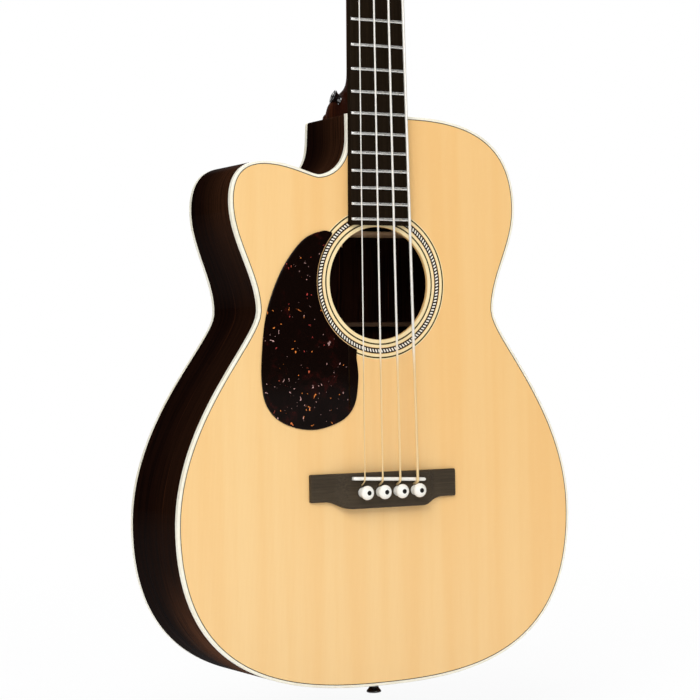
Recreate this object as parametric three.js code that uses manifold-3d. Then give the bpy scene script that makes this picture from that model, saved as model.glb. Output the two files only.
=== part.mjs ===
// Left-handed acoustic bass guitar, millimetres, +Z up, neck along +Z.
// Origin: on the centreline at the nut, in the plane where the fingerboard is glued to the neck.
// The soundboard's face lies in the same plane, y = 0, and looks towards -Y.
import * as THREE from 'three';
import { mergeVertices } from 'three/addons/utils/BufferGeometryUtils.js';
import Module from 'manifold-3d';

const wasm = await Module();
wasm.setup();

// Driving dimensions
const glueGap = 0.3;            // left between any two pieces that touch
const overrun = 5;              // how far a cutter runs past what it cuts
const scaleLength = 863.6;
const bodyFret = 17;
const fretCount = 23;
const bodyLength = 513.4;
const circleSteps = 30;
const roundSides = 12;
const halfTurn = Math.PI;

const fretZ = (n) => -scaleLength * (1 - 2 ** (-n / 12));
const neckJoinZ = fretZ(bodyFret);
const tailZ = neckJoinZ - bodyLength;
const heightOf = (z) => z - tailZ;      // height above the tail, used for everything on the body
const saddleLineHeight = heightOf(-scaleLength);
const lengthShare = (share) => bodyLength * share;
const board = { thickness: 6.8, edgeDrop: 1, overhang: 5, nutHalf: 21.3, endHalf: 31.3 };
const boardEndZ = fretZ(fretCount) - board.overhang;

// Body outline, half widths and heights above the tail
const outline = {
  lowerHalf: 203.4, lowerHeight: lengthShare(0.2922), waistHalf: 122.3, waistHeight: lengthShare(0.6564),
  upperHalf: 147.7, upperHeight: lengthShare(0.8413), shoulderHalf: 31,
  tailReach: 84.4, lowerReachDown: 141.5, lowerReachUp: 93.8, waistReachDown: 25.1,
  waistReachUp: 31.4, upperReachDown: 34.3, upperReachUp: 73.3, shoulderReach: 52.4,
};
const cutaway = {
  hornX: -112.1, hornHeight: lengthShare(0.9129), hornReachOut: 16, hornReachIn: 21.8, hornRise: 31.4,
  valleyX: -60.7, valleyHeight: lengthShare(0.8921), valleyReachOut: 5.5, valleyReachIn: 7.7,
  edgeX: -30.5, edgeHeight: lengthShare(0.9616), edgeReach: 30.5, cornerRadius: 3,
};
const back = { crown: 114, slopeShare: 0.054, radius: 4570, thickness: 2.8 };
const holeBelowBoard = 52.2;
const top = { thickness: 3, holeRadius: 50.8, holeHeight: heightOf(boardEndZ) - holeBelowBoard };
const side = { thickness: 2.4 };
const binding = { width: 2.4, height: 4.8 };
const lining = { width: 5.5, thin: 3.7, height: 14 };
const plateInset = binding.width + glueGap;

// Outer face of the arched back at a place on the body
const backFace = (x, h) => back.crown - back.slopeShare * h
  - (x * x + (h - bodyLength / 2) ** 2) / (2 * back.radius);

// Materials
const paint = (color, roughness, metalness = 0) =>
  new THREE.MeshStandardMaterial({ color, roughness, metalness });
const looks = {
  spruce: () => paint(0xf3cd94, 0.35), rosewood: () => paint(0x1d0f0a, 0.2),
  ivory: () => paint(0xf1e9cf, 0.3), neckWood: () => paint(0x3f1c12, 0.25),
  ebony: () => paint(0x2b2724, 0.55), tortoise: () => paint(0x1f0b09, 0.15),
  bone: () => paint(0xf6f1e4, 0.35), blackPlastic: () => paint(0x0c0c0d, 0.15),
  innerWood: () => paint(0xd9b27c, 0.7), mahogany: () => paint(0x8a4f30, 0.7),
  nickel: () => paint(0xc9c8c4, 0.25, 1), bronze: () => paint(0xe9cf9c, 0.3, 1),
  steel: () => paint(0x9a9ca0, 0.4, 1),
};

const guitar = new THREE.Group();
const body = new THREE.Group();
body.position.z = tailZ;
const bridgeFrame = new THREE.Group();
bridgeFrame.position.z = -scaleLength;
guitar.add(body, bridgeFrame);

function addPart(parent, name, geometry, material) {
  const mesh = new THREE.Mesh(geometry, material);
  mesh.name = name;
  parent.add(mesh);
  return mesh;
}

// Solids, cuts and joins
const weld = 1e-4;

function solidOf(geometry) {
  const bare = new THREE.BufferGeometry();
  bare.setAttribute('position', geometry.getAttribute('position').clone());
  if (geometry.index) bare.setIndex(geometry.index.clone());
  const merged = mergeVertices(bare, weld);
  const vertProperties = Float32Array.from(merged.getAttribute('position').array);
  const triVerts = Uint32Array.from(merged.index.array);
  return new wasm.Manifold(new wasm.Mesh({ numProp: 3, vertProperties, triVerts }));
}

function geometryOf(solid) {
  const mesh = solid.getMesh();
  const geometry = new THREE.BufferGeometry();
  geometry.setAttribute('position', new THREE.Float32BufferAttribute(mesh.vertProperties, 3));
  geometry.setIndex(Array.from(mesh.triVerts));
  geometry.computeVertexNormals();
  return geometry;
}

function cut(geometry, ...cutters) {
  let solid = solidOf(geometry);
  for (const cutter of cutters) solid = solid.subtract(solidOf(cutter));
  return geometryOf(solid);
}

function join(...geometries) {
  let solid = solidOf(geometries[0]);
  for (const more of geometries.slice(1)) solid = solid.add(solidOf(more));
  return geometryOf(solid);
}

// A shape drawn in x and height, from one y to a further one
function slab(shape, yFrom, yTo, curveSegments = circleSteps) {
  const geometry = new THREE.ExtrudeGeometry(shape,
    { depth: yTo - yFrom, bevelEnabled: false, curveSegments });
  return geometry.rotateX(halfTurn / 2).translate(0, yTo, 0);
}

function shapeOf(points) {
  return new THREE.Shape(points.map(([x, h]) => new THREE.Vector2(x, h)));
}

function circleShape(x, h, radius) {
  return new THREE.Shape().absarc(x, h, radius, 0, 2 * halfTurn, false);
}

function box(x0, x1, y0, y1, z0, z1) {
  return new THREE.BoxGeometry(x1 - x0, y1 - y0, z1 - z0)
    .translate((x0 + x1) / 2, (y0 + y1) / 2, (z0 + z1) / 2);
}

// A round piece about the Y axis: its profile is a list of [radius, y]
function turned(profile, segments) {
  const points = profile.map(([radius, y]) => new THREE.Vector2(radius, y));
  return outward(new THREE.LatheGeometry(points, segments));
}

function rod(radius, yFrom, yTo, segments = roundSides) {
  return turned([[0, yFrom], [radius, yFrom], [radius, yTo], [0, yTo]], segments);
}

// Stands a round piece along Z: what was at y is then at that height
const upright = (geometry) => geometry.rotateX(halfTurn / 2);

function volumeOf(geometry) {
  const p = geometry.getAttribute('position');
  const order = geometry.index ? Array.from(geometry.index.array) : [...Array(p.count).keys()];
  const [a, b, c] = [new THREE.Vector3(), new THREE.Vector3(), new THREE.Vector3()];
  let sum = 0;
  for (let i = 0; i < order.length; i += 3) {
    a.fromBufferAttribute(p, order[i]);
    b.fromBufferAttribute(p, order[i + 1]);
    c.fromBufferAttribute(p, order[i + 2]);
    sum += a.dot(b.cross(c)) / 6;
  }
  return sum;
}

function outward(geometry) {
  if (volumeOf(geometry) < 0) {
    const order = geometry.index.array;
    for (let i = 0; i < order.length; i += 3) {
      [order[i + 1], order[i + 2]] = [order[i + 2], order[i + 1]];
    }
  }
  return geometry;
}

function meshFrom(points, triangles) {
  const geometry = new THREE.BufferGeometry().setFromPoints(points);
  geometry.setIndex(triangles);
  return outward(geometry);
}

// A skin over rings of points, closed into a loop or capped at both ends
function loft(rings, loop = false) {
  const size = rings[0].length;
  const triangles = [];
  const spans = loop ? rings.length : rings.length - 1;
  for (let r = 0; r < spans; r += 1) {
    const here = r * size;
    const next = ((r + 1) % rings.length) * size;
    for (let k = 0; k < size; k += 1) {
      const m = (k + 1) % size;
      triangles.push(here + k, here + m, next + m, here + k, next + m, next + k);
    }
  }
  if (!loop) {
    const last = (rings.length - 1) * size;
    for (let k = 1; k < size - 1; k += 1) {
      triangles.push(0, k + 1, k, last, last + k, last + k + 1);
    }
  }
  return meshFrom(rings.flat(), triangles);
}

// Stations along the body's edge: a place, and the direction that leads into the body
const point2 = (x, h) => new THREE.Vector2(x, h);
const curve = (...points) => new THREE.CubicBezierCurve(...points.map(([x, h]) => point2(x, h)));
const line = (from, to) => new THREE.LineCurve(point2(...from), point2(...to));

function boutCurves(sign) {
  const o = outline;
  return [
    curve([0, 0], [sign * o.tailReach, 0], [sign * o.lowerHalf, o.lowerHeight - o.lowerReachDown],
      [sign * o.lowerHalf, o.lowerHeight]),
    curve([sign * o.lowerHalf, o.lowerHeight], [sign * o.lowerHalf, o.lowerHeight + o.lowerReachUp],
      [sign * o.waistHalf, o.waistHeight - o.waistReachDown], [sign * o.waistHalf, o.waistHeight]),
    curve([sign * o.waistHalf, o.waistHeight], [sign * o.waistHalf, o.waistHeight + o.waistReachUp],
      [sign * o.upperHalf, o.upperHeight - o.upperReachDown], [sign * o.upperHalf, o.upperHeight]),
  ];
}

const shoulderCurve = curve([outline.upperHalf, outline.upperHeight],
  [outline.upperHalf, outline.upperHeight + outline.upperReachUp],
  [outline.shoulderHalf + outline.shoulderReach, bodyLength], [outline.shoulderHalf, bodyLength]);
const hornCurve = curve([-outline.upperHalf, outline.upperHeight],
  [-outline.upperHalf, outline.upperHeight + cutaway.hornRise],
  [cutaway.hornX - cutaway.hornReachOut, cutaway.hornHeight], [cutaway.hornX, cutaway.hornHeight]);
const dipCurve = curve([cutaway.hornX, cutaway.hornHeight],
  [cutaway.hornX + cutaway.hornReachIn, cutaway.hornHeight],
  [cutaway.valleyX - cutaway.valleyReachOut, cutaway.valleyHeight],
  [cutaway.valleyX, cutaway.valleyHeight]);
const riseCurve = curve([cutaway.valleyX, cutaway.valleyHeight],
  [cutaway.valleyX + cutaway.valleyReachIn, cutaway.valleyHeight],
  [cutaway.edgeX, cutaway.edgeHeight - cutaway.edgeReach], [cutaway.edgeX, cutaway.edgeHeight]);
const cornerHeight = bodyLength - cutaway.cornerRadius;
const cornerX = cutaway.edgeX + cutaway.cornerRadius;
const cornerCurve = new THREE.QuadraticBezierCurve(point2(cutaway.edgeX, cornerHeight),
  point2(cutaway.edgeX, bodyLength), point2(cornerX, bodyLength));

// Each run is a curve, its number of steps, and the share of it that is used
function stationsOf(runs, inwardSign) {
  const stations = [];
  for (const [path, steps, share = 1] of runs) {
    for (let i = stations.length ? 1 : 0; i <= steps; i += 1) {
      const u = (i / steps) * share;
      const p = path.getPointAt(u);
      const t = path.getTangentAt(u);
      stations.push({ x: p.x, h: p.y, nx: -t.y * inwardSign, nh: t.x * inwardSign });
    }
  }
  return stations;
}

const boutSteps = [13, 8, 5];
const shoulderSteps = 8;
const bassBouts = boutCurves(1).map((path, i) => [path, boutSteps[i]]);
const trebleBouts = boutCurves(-1).map((path, i) => [path, boutSteps[i]]);
const cutawayRuns = [[hornCurve, 6], [dipCurve, 4], [riseCurve, 6]];
const mortise = { half: 11.5, depth: 20, fromBack: 9.1 };
mortise.floorY = backFace(0, bodyLength) - mortise.fromBack;
const flatEnd = mortise.half + glueGap;

const bassEdge = stationsOf([...bassBouts, [shoulderCurve, shoulderSteps]], 1);
const trebleEdge = stationsOf([...trebleBouts, ...cutawayRuns,
  [line([cutaway.edgeX, cutaway.edgeHeight], [cutaway.edgeX, bodyLength]), 1]], -1);
const bassSideEdge = stationsOf([...bassBouts, [shoulderCurve, shoulderSteps],
  [line([outline.shoulderHalf, bodyLength], [flatEnd, bodyLength]), 1]], 1);
const trebleSideEdge = stationsOf([...trebleBouts, ...cutawayRuns,
  [line([cutaway.edgeX, cutaway.edgeHeight], [cutaway.edgeX, cornerHeight]), 1],
  [cornerCurve, 2], [line([cornerX, bodyLength], [-flatEnd, bodyLength]), 1]], -1);
const inset = (station, depth) => [station.x + station.nx * depth, station.h + station.nh * depth];

// Half the body's width at a height, on its full side
function halfWidthAt(h) {
  const above = bassEdge.findIndex((s) => s.h > h);
  const [low, high] = [bassEdge[above - 1], bassEdge[above]];
  return low.x + (high.x - low.x) * ((h - low.h) / (high.h - low.h));
}

// A band round the body: its section is a list of [inset, y], where y may follow the back
function band(stations, section, loop = false) {
  return loft(stations.map((station) => section.map(([depth, y]) => {
    const [x, h] = inset(station, depth);
    return new THREE.Vector3(x, typeof y === 'function' ? y(x, h) : y, h);
  })), loop);
}

const aheadOfBack = (distance) => (x, h) => backFace(x, h) - distance;
const throughTail = (bass, treble) => [...bass].reverse().concat(treble.slice(1));

// Sides, meeting at the tail in the end graft's gap
const graft = { half: 6, thickness: 2 };
function trimTail(stations, x) {
  const kept = stations.filter((s) => Math.abs(s.x) > Math.abs(x) + glueGap);
  return [{ x, h: 0, nx: 0, nh: 1 }, ...kept];
}
const sideSection = [[0, binding.height + glueGap], [side.thickness, binding.height + glueGap],
  [side.thickness, aheadOfBack(binding.height + glueGap)],
  [0, aheadOfBack(binding.height + glueGap)]];
const sideStart = graft.half + glueGap;
addPart(body, 'side_bass', band(trimTail(bassSideEdge, sideStart), sideSection), looks.rosewood());
addPart(body, 'side_treble', band(trimTail(trebleSideEdge, -sideStart), sideSection),
  looks.rosewood());
const pinPlace = { y: 23, boreRadius: 4.5 };
addPart(body, 'end_graft', cut(box(-graft.half, graft.half, binding.height + glueGap,
  backFace(0, 0) - binding.height - glueGap, 0, graft.thickness),
upright(rod(pinPlace.boreRadius, -graft.half, graft.half)).translate(0, pinPlace.y, 0)), looks.ebony());

// Bindings: the front one stops at the neck, the back one goes all round
const frontSection = [[0, 0], [binding.width, 0], [binding.width, binding.height],
  [0, binding.height]];
const backSection = [[0, aheadOfBack(binding.height)], [binding.width, aheadOfBack(binding.height)],
  [binding.width, aheadOfBack(0)], [0, aheadOfBack(0)]];
addPart(body, 'top_binding', band(throughTail(bassEdge, trebleEdge), frontSection), looks.ivory());
const roundEdge = throughTail(bassSideEdge, trebleSideEdge);
addPart(body, 'back_binding', band(roundEdge, backSection, true), looks.ivory());

// Linings, thin away from the plates
const liningOuter = plateInset;
const liningInner = liningOuter + lining.width;
const topSeat = top.thickness + glueGap;
const backSeat = back.thickness + glueGap;
const topLiningSection = [[liningOuter, topSeat], [liningInner, topSeat],
  [liningInner, topSeat + lining.thin], [liningOuter, topSeat + lining.height]];
const backLiningSection = [[liningOuter, aheadOfBack(backSeat + lining.height)],
  [liningInner, aheadOfBack(backSeat + lining.thin)], [liningInner, aheadOfBack(backSeat)],
  [liningOuter, aheadOfBack(backSeat)]];
const tailBlock = { half: 45, depth: 16 };
const liningStart = tailBlock.half + glueGap;
const pastTailBlock = (s) => Math.abs(s.x) > liningStart + lining.width;
const bassLining = bassEdge.filter(pastTailBlock);
const trebleLining = trebleEdge.filter(pastTailBlock);
addPart(body, 'top_lining_bass', band(bassLining, topLiningSection), looks.innerWood());
addPart(body, 'top_lining_treble', band(trebleLining, topLiningSection), looks.innerWood());
addPart(body, 'back_lining_bass', band(bassLining, backLiningSection), looks.innerWood());
addPart(body, 'back_lining_treble', band(trebleLining, backLiningSection), looks.innerWood());

// String lines
const strings = [
  { name: 'string_e', bridgeX: 27.2, nutX: 17.5, radius: 1.27, postHeight: 50, post: 'bass_low' },
  { name: 'string_a', bridgeX: 9.06, nutX: 5.83, radius: 1.02, postHeight: 122, post: 'bass_high' },
  { name: 'string_d', bridgeX: -9.06, nutX: -5.83, radius: 0.83, postHeight: 122, post: 'treble_high' },
  { name: 'string_g', bridgeX: -27.2, nutX: -17.5, radius: 0.57, postHeight: 50, post: 'treble_low' },
];
const pin = {
  below: 15.2, holeRadius: 3.4, shaftRadius: 3, tipRadius: 2.3, length: 25, grooveFrom: 1.7,
  collarRadius: 4.7, collarTop: 3.8, neckRadius: 4.1, neckUp: 5.2,
  ballRadius: 6.4, ballFrom: 7.8, ballTop: 10.2, crownRadius: 4.6, height: 12.8, rounding: 1,
};
const stringRoom = { ahead: 3.4, side: 0.4, notch: 5.3 };

// A hole for a bridge pin, with its notch for the string
function pinHoles(yFrom, yTo, place) {
  return strings.flatMap((s) => {
    const half = s.radius + stringRoom.side;
    return [
      rod(pin.holeRadius, yFrom, yTo).translate(s.bridgeX, 0, place - pin.below),
      box(s.bridgeX - half, s.bridgeX + half, yFrom, yTo,
        place - pin.below, place - pin.below + stringRoom.notch),
    ];
  });
}

// Soundboard with the soundhole, the pin holes and the rosette's channels
const rosette = { depth: 1, rings: [
  { name: 'rosette_inner_ring', from: 53.6, to: 56.2, look: 'ivory' },
  { name: 'rosette_middle_ring', from: 59.2, to: 62.9, look: 'ivory' },
  { name: 'rosette_outer_ring', from: 65.9, to: 68.4, look: 'ivory' },
] };

function ring(inner, outer, y0, y1) {
  return turned([[inner, y0], [outer, y0], [outer, y1], [inner, y1], [inner, y0]], circleSteps)
    .translate(0, 0, top.holeHeight);
}

const bassPlateEdge = bassEdge.map((s) => inset(s, plateInset));
const treblePlateEdge = trebleEdge.map((s) => inset(s, plateInset));
const boardShape = shapeOf([...treblePlateEdge.slice(1).reverse(), ...bassPlateEdge,
  [outline.shoulderHalf, bodyLength]]);
boardShape.holes.push(circleShape(0, top.holeHeight, top.holeRadius));
const channels = rosette.rings.map((r) => ring(r.from - glueGap / 2, r.to + glueGap / 2, -overrun,
  rosette.depth + glueGap));
addPart(body, 'soundboard', cut(slab(boardShape, 0, top.thickness), ...channels,
  ...pinHoles(-overrun, top.thickness + overrun, saddleLineHeight)), looks.spruce());
for (const r of rosette.rings) {
  addPart(body, r.name, ring(r.from, r.to, 0, rosette.depth), looks[r.look]());
}

// Arched back plate, in rings about a point that sees the whole edge
const backCentre = { x: 0, height: 250 };
const backRingShares = [1, 0.68, 0.34];
function archedPlate(edge) {
  const size = edge.length;
  const count = backRingShares.length;
  const points = [];
  for (const depth of [0, back.thickness]) {
    for (const share of backRingShares) {
      for (const [x, h] of edge) {
        const px = backCentre.x + (x - backCentre.x) * share;
        const ph = backCentre.height + (h - backCentre.height) * share;
        points.push(new THREE.Vector3(px, backFace(px, ph) - depth, ph));
      }
    }
    points.push(new THREE.Vector3(backCentre.x,
      backFace(backCentre.x, backCentre.height) - depth, backCentre.height));
  }
  const inner = size * count + 1;
  const triangles = [];
  for (let k = 0; k < size; k += 1) {
    const m = (k + 1) % size;
    triangles.push(k, inner + m, m, k, inner + k, inner + m);
    for (let r = 0; r < count; r += 1) {
      const [a, b] = [r * size + k, r * size + m];
      const last = r === count - 1;
      const [c, d] = last ? [size * count, size * count] : [a + size, b + size];
      triangles.push(a, b, d, inner + b, inner + a, inner + c);
      if (!last) triangles.push(a, d, c, inner + d, inner + b, inner + c);
    }
  }
  return meshFrom(points, triangles);
}
const backEdge = roundEdge.map((s) => inset(s, plateInset)).filter(([x, h], i, all) => {
  const [px, ph] = all[(i + all.length - 1) % all.length];
  return Math.hypot(x - px, h - ph) > glueGap;
});
addPart(body, 'back_plate', archedPlate(backEdge), looks.rosewood());

// Pickguard: its inner edge follows the rosette, the rest is a drop shape.
// Its points are places across and up from the soundhole's centre.
const guard = { thickness: 1.2, edgeRadius: 64.4 };
const guardPlaces = [[-48, 45], [-58, 46.3], [-77, 38.5], [-95.6, 17.5], [-109, -8.5],
  [-117, -35.5], [-120.7, -68.5], [-120.7, -88.5], [-117.8, -104.5], [-109.6, -116.8], [-97.6, -124.5],
  [-82.3, -129], [-65.4, -129.7], [-48.2, -125.4], [-35.5, -118.5], [-27.3, -106.6], [-24.2, -89],
  [-24, -78.1], [-25.5, -67.1]];
const guardPoints = guardPlaces.map(([x, up]) => [x, top.holeHeight + up]);
const guardCurve = new THREE.SplineCurve(guardPoints.map(([x, h]) => point2(x, h)));
const guardShape = new THREE.Shape(guardCurve.getPoints(40));
const angleAt = ([x, h]) => Math.atan2(h - top.holeHeight, x);
const guardStart = angleAt(guardPoints[0]);
guardShape.absarc(0, top.holeHeight, guard.edgeRadius,
  angleAt(guardPoints[guardPoints.length - 1]), guardStart - 2 * halfTurn, true);
addPart(body, 'pickguard', slab(guardShape, -glueGap - guard.thickness, -glueGap, 14),
  looks.tortoise());

// Blocks at the neck and at the tail
const innerWall = side.thickness + glueGap;
const neckBlock = { right: 30, left: -27.5, length: 58 };
const blockTop = bodyLength - innerWall;
const rodSeat = { y: 8.5, radius: 3, holeRadius: 3.3, end: -26, roomEnd: -20 };
addPart(body, 'neck_block', cut(
  box(neckBlock.left, neckBlock.right, topSeat, backFace(0, bodyLength) - backSeat - glueGap,
    blockTop - neckBlock.length, blockTop),
  box(-mortise.half, mortise.half, topSeat - overrun, mortise.floorY,
    bodyLength - mortise.depth, bodyLength + overrun),
  upright(rod(rodSeat.holeRadius, blockTop - neckBlock.length - overrun, blockTop + overrun))
    .translate(0, rodSeat.y, 0),
), looks.mahogany());

const endPin = { ...pinPlace, shankRadius: 4.2, length: 20, headRadius: 6.9, headBase: 5.3,
  headLength: 9.5 };
const nearTail = (s) => Math.abs(s.x) < tailBlock.half && s.h < tailBlock.depth;
const tailCurve = throughTail(bassEdge.filter(nearTail), trebleEdge.filter(nearTail))
  .map((s) => inset(s, innerWall));
const tailBlockEnd = tailCurve[0][0];
const tailBackDrop = backFace(0, 0) - backFace(tailBlock.half, 0) + glueGap;
addPart(body, 'tail_block', cut(
  slab(shapeOf([...tailCurve, [-tailBlockEnd, tailBlock.depth + innerWall],
    [tailBlockEnd, tailBlock.depth + innerWall]]), topSeat, backFace(0, 0) - backSeat - tailBackDrop),
  upright(rod(endPin.boreRadius, -tailBlock.depth * 2, tailBlock.depth * 2))
    .translate(0, endPin.y, 0),
), looks.mahogany());

// Braces of the soundboard: bars with rounded-off ends, drawn along their length
function barShape(length, height, endHeight, endRun) {
  const half = length / 2;
  return new THREE.Shape([[-half, 0], [half, 0], [half, endHeight], [half - endRun, height],
    [-half + endRun, height], [-half, endHeight]].map(([x, y]) => point2(x, y)));
}

// A bar under the soundboard, centred on a place and turned from level
function topBar({ x, h, length, width, height, angle }) {
  const shape = barShape(length, height, brace.endHeight, length * brace.endRunShare);
  const geometry = new THREE.ExtrudeGeometry(shape, { depth: width, bevelEnabled: false });
  return geometry.translate(0, topSeat, -width / 2).rotateY(-angle).translate(x, 0, h);
}
const brace = { endHeight: 3, endRunShare: 0.22 };
const cross = { belowHole: 44.5, length: 268, width: 8, height: 14, angle: 0.86, lapShare: 0.5 };
cross.h = top.holeHeight - top.holeRadius - cross.belowHole;
const lapRoom = glueGap / 2;
const crossOne = { ...cross, x: 0 };
const crossTwo = { ...cross, x: 0, angle: -cross.angle };
const lapY = topSeat + cross.height * cross.lapShare;
function lapCut(angle, y0, y1) {
  const half = cross.width / 2 + glueGap;
  return box(-cross.width * 2, cross.width * 2, y0, y1, -half, half).rotateY(-angle)
    .translate(0, 0, cross.h);
}
addPart(body, 'x_brace_one', cut(topBar(crossOne),
  lapCut(crossTwo.angle, lapY - lapRoom, topSeat + cross.height + overrun)), looks.innerWood());
addPart(body, 'x_brace_two', cut(topBar(crossTwo),
  lapCut(crossOne.angle, topSeat - overrun, lapY + lapRoom)), looks.innerWood());

// The bridge plate lies between the arms of the cross, and two tone bars share the room below it
const plate = { above: 14, below: 26, thickness: 2.5, slant: 9, fromCross: 15.7 };
const plateTop = saddleLineHeight - pin.below;
plate.half = (cross.h - plateTop - plate.above) / Math.tan(cross.angle) - plate.fromCross + plate.slant;
const barsFrom = tailBlock.depth + innerWall;
const barRoom = plateTop - plate.below - barsFrom;
const toneBar = { lengthShare: 1.161, width: 7, height: 11, angle: 0.5 };
toneBar.length = barRoom * toneBar.lengthShare;
for (const { name, upShare, offShare } of [
  { name: 'tone_bar_upper', upShare: 0.652, offShare: 0.147 },
  { name: 'tone_bar_lower', upShare: 0.381, offShare: 0.227 }]) {
  addPart(body, name, topBar({ ...toneBar, x: toneBar.length * offShare,
    h: barsFrom + barRoom * upShare }), looks.innerWood());
}
const transverse = { aboveHole: 9.2, fromEdge: 29.6, width: 13, height: 16 };
transverse.h = top.holeHeight + top.holeRadius + transverse.aboveHole;
transverse.length = 2 * (halfWidthAt(transverse.h) - transverse.fromEdge);
const wrenchHole = upright(rod(rodSeat.holeRadius, -transverse.width, transverse.width))
  .translate(0, rodSeat.y, transverse.h);
addPart(body, 'upper_transverse_brace', cut(topBar({ ...transverse, x: 0, angle: 0 }), wrenchHole),
  looks.innerWood());

// Bridge plate under the soundboard
const plateShape = shapeOf([[-plate.half, plateTop - plate.below],
  [plate.half, plateTop - plate.below], [plate.half - plate.slant, plateTop + plate.above],
  [-plate.half + plate.slant, plateTop + plate.above]]);
addPart(body, 'bridge_plate', cut(slab(plateShape, topSeat, topSeat + plate.thickness),
  ...pinHoles(topSeat - overrun, topSeat + plate.thickness + overrun, saddleLineHeight)),
looks.rosewood());

// Braces of the back follow its arch and step over the centre strip
const strip = { half: 10.5, thickness: 1.5, fromBlock: 4.7 };
strip.start = barsFrom + strip.fromBlock;
strip.end = blockTop - neckBlock.length - strip.fromBlock;
const backBrace = { width: 6.5, height: 12, endHeight: 3, taper: 26, fromEdge: 14 };
const backBraces = [
  { name: 'back_brace_lower', share: 0.1753 }, { name: 'back_brace_second', share: 0.3603 },
  { name: 'back_brace_third', share: 0.635 }, { name: 'back_brace_upper', share: 0.8019 },
];
const stepOver = 0.5;
for (const { name, share } of backBraces) {
  const h = lengthShare(share);
  const half = Math.min(halfWidthAt(h - backBrace.width), halfWidthAt(h + backBrace.width))
    - backBrace.fromEdge;
  const notch = strip.half + glueGap;
  const places = [-half, -half + backBrace.taper, -half / 2, -notch - stepOver, -notch, 0, notch,
    notch + stepOver, half / 2, half - backBrace.taper, half];
  const rings = places.map((x) => {
    const overStrip = Math.abs(x) <= notch ? strip.thickness + glueGap : 0;
    const seat = backSeat + glueGap + overStrip;
    const deep = backSeat + (Math.abs(x) === half ? backBrace.endHeight : backBrace.height);
    const [low, high] = [h - backBrace.width / 2, h + backBrace.width / 2];
    return [[low, seat], [high, seat], [high - backBrace.width / 4, deep],
      [low + backBrace.width / 4, deep]]
      .map(([z, drop]) => new THREE.Vector3(x, backFace(x, z) - drop, z));
  });
  addPart(body, name, loft(rings), looks.innerWood());
}
const stripSteps = 10;
const stripRings = [...Array(stripSteps + 1).keys()].map((i) => {
  const h = strip.start + (strip.end - strip.start) * (i / stripSteps);
  return [[-strip.half, 0], [strip.half, 0], [strip.half, strip.thickness],
    [-strip.half, strip.thickness]]
    .map(([x, drop]) => new THREE.Vector3(x, backFace(0, h) - backSeat - drop, h));
});
addPart(body, 'back_center_strip', loft(stripRings), looks.innerWood());

// Bridge: an outline with a belly, thinned towards its ends
const bridge = {
  half: 75.5, above: 2, wingBelow: 22.8, bellyBelow: 29.7, bellyHalf: 36, bellyRun: 24,
  height: 10.2, wingHeight: 4.6, tipHeight: 3.8, slopeFrom: 41, slopeTo: 50,
};
const saddle = { length: 75, width: 3.2, shift: 4.15, slantShare: 0.047, crest: 14.4, seat: 4.5 };
const saddleZ = (x) => -saddle.shift - saddle.slantShare * x;
const bridgeShape = new THREE.Shape()
  .moveTo(-bridge.half, bridge.above)
  .lineTo(-bridge.half, -bridge.wingBelow)
  .lineTo(-bridge.bellyHalf - bridge.bellyRun, -bridge.wingBelow)
  .bezierCurveTo(-bridge.bellyHalf - bridge.bellyRun / 2, -bridge.wingBelow,
    -bridge.bellyHalf - bridge.bellyRun / 2, -bridge.bellyBelow, -bridge.bellyHalf, -bridge.bellyBelow)
  .lineTo(bridge.bellyHalf, -bridge.bellyBelow)
  .bezierCurveTo(bridge.bellyHalf + bridge.bellyRun / 2, -bridge.bellyBelow,
    bridge.bellyHalf + bridge.bellyRun / 2, -bridge.wingBelow,
    bridge.bellyHalf + bridge.bellyRun, -bridge.wingBelow)
  .lineTo(bridge.half, -bridge.wingBelow)
  .lineTo(bridge.half, bridge.above);
const bridgeProfile = new THREE.Shape([[-bridge.half, overrun], [-bridge.half, -bridge.tipHeight],
  [-bridge.slopeTo, -bridge.wingHeight], [-bridge.slopeFrom, -bridge.height],
  [bridge.slopeFrom, -bridge.height], [bridge.slopeTo, -bridge.wingHeight],
  [bridge.half, -bridge.tipHeight], [bridge.half, overrun]]
  .map(([x, y]) => point2(x * (1 + weld), y)));
const profileSolid = new THREE.ExtrudeGeometry(bridgeProfile,
  { depth: bridge.bellyBelow * 2, bevelEnabled: false }).translate(0, 0, -bridge.bellyBelow * 3 / 2);
const saddleTurn = Math.atan(saddle.slantShare);
const saddlePlace = (geometry) => geometry.rotateY(saddleTurn).translate(0, 0, -saddle.shift);
const saddleSlot = saddlePlace(box(-saddle.length / 2 - glueGap, saddle.length / 2 + glueGap,
  -bridge.height - overrun, -saddle.seat, -saddle.width / 2 - glueGap, saddle.width / 2 + glueGap));
const ramp = { end: 7.6, floor: 5, rise: 2.8 };
const ramps = strings.map((s) => {
  const half = s.radius + stringRoom.side;
  return box(s.bridgeX - half, s.bridgeX + half, -bridge.height - overrun, -ramp.floor,
    -pin.below, -pin.below + ramp.end);
});
let bridgeSolid = solidOf(slab(bridgeShape, -bridge.height, -glueGap, 8))
  .intersect(solidOf(profileSolid));
for (const cutter of [saddleSlot, ...ramps, ...pinHoles(-bridge.height - overrun, overrun, 0)]) {
  bridgeSolid = bridgeSolid.subtract(solidOf(cutter));
}
addPart(bridgeFrame, 'bridge', geometryOf(bridgeSolid), looks.ebony());

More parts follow.
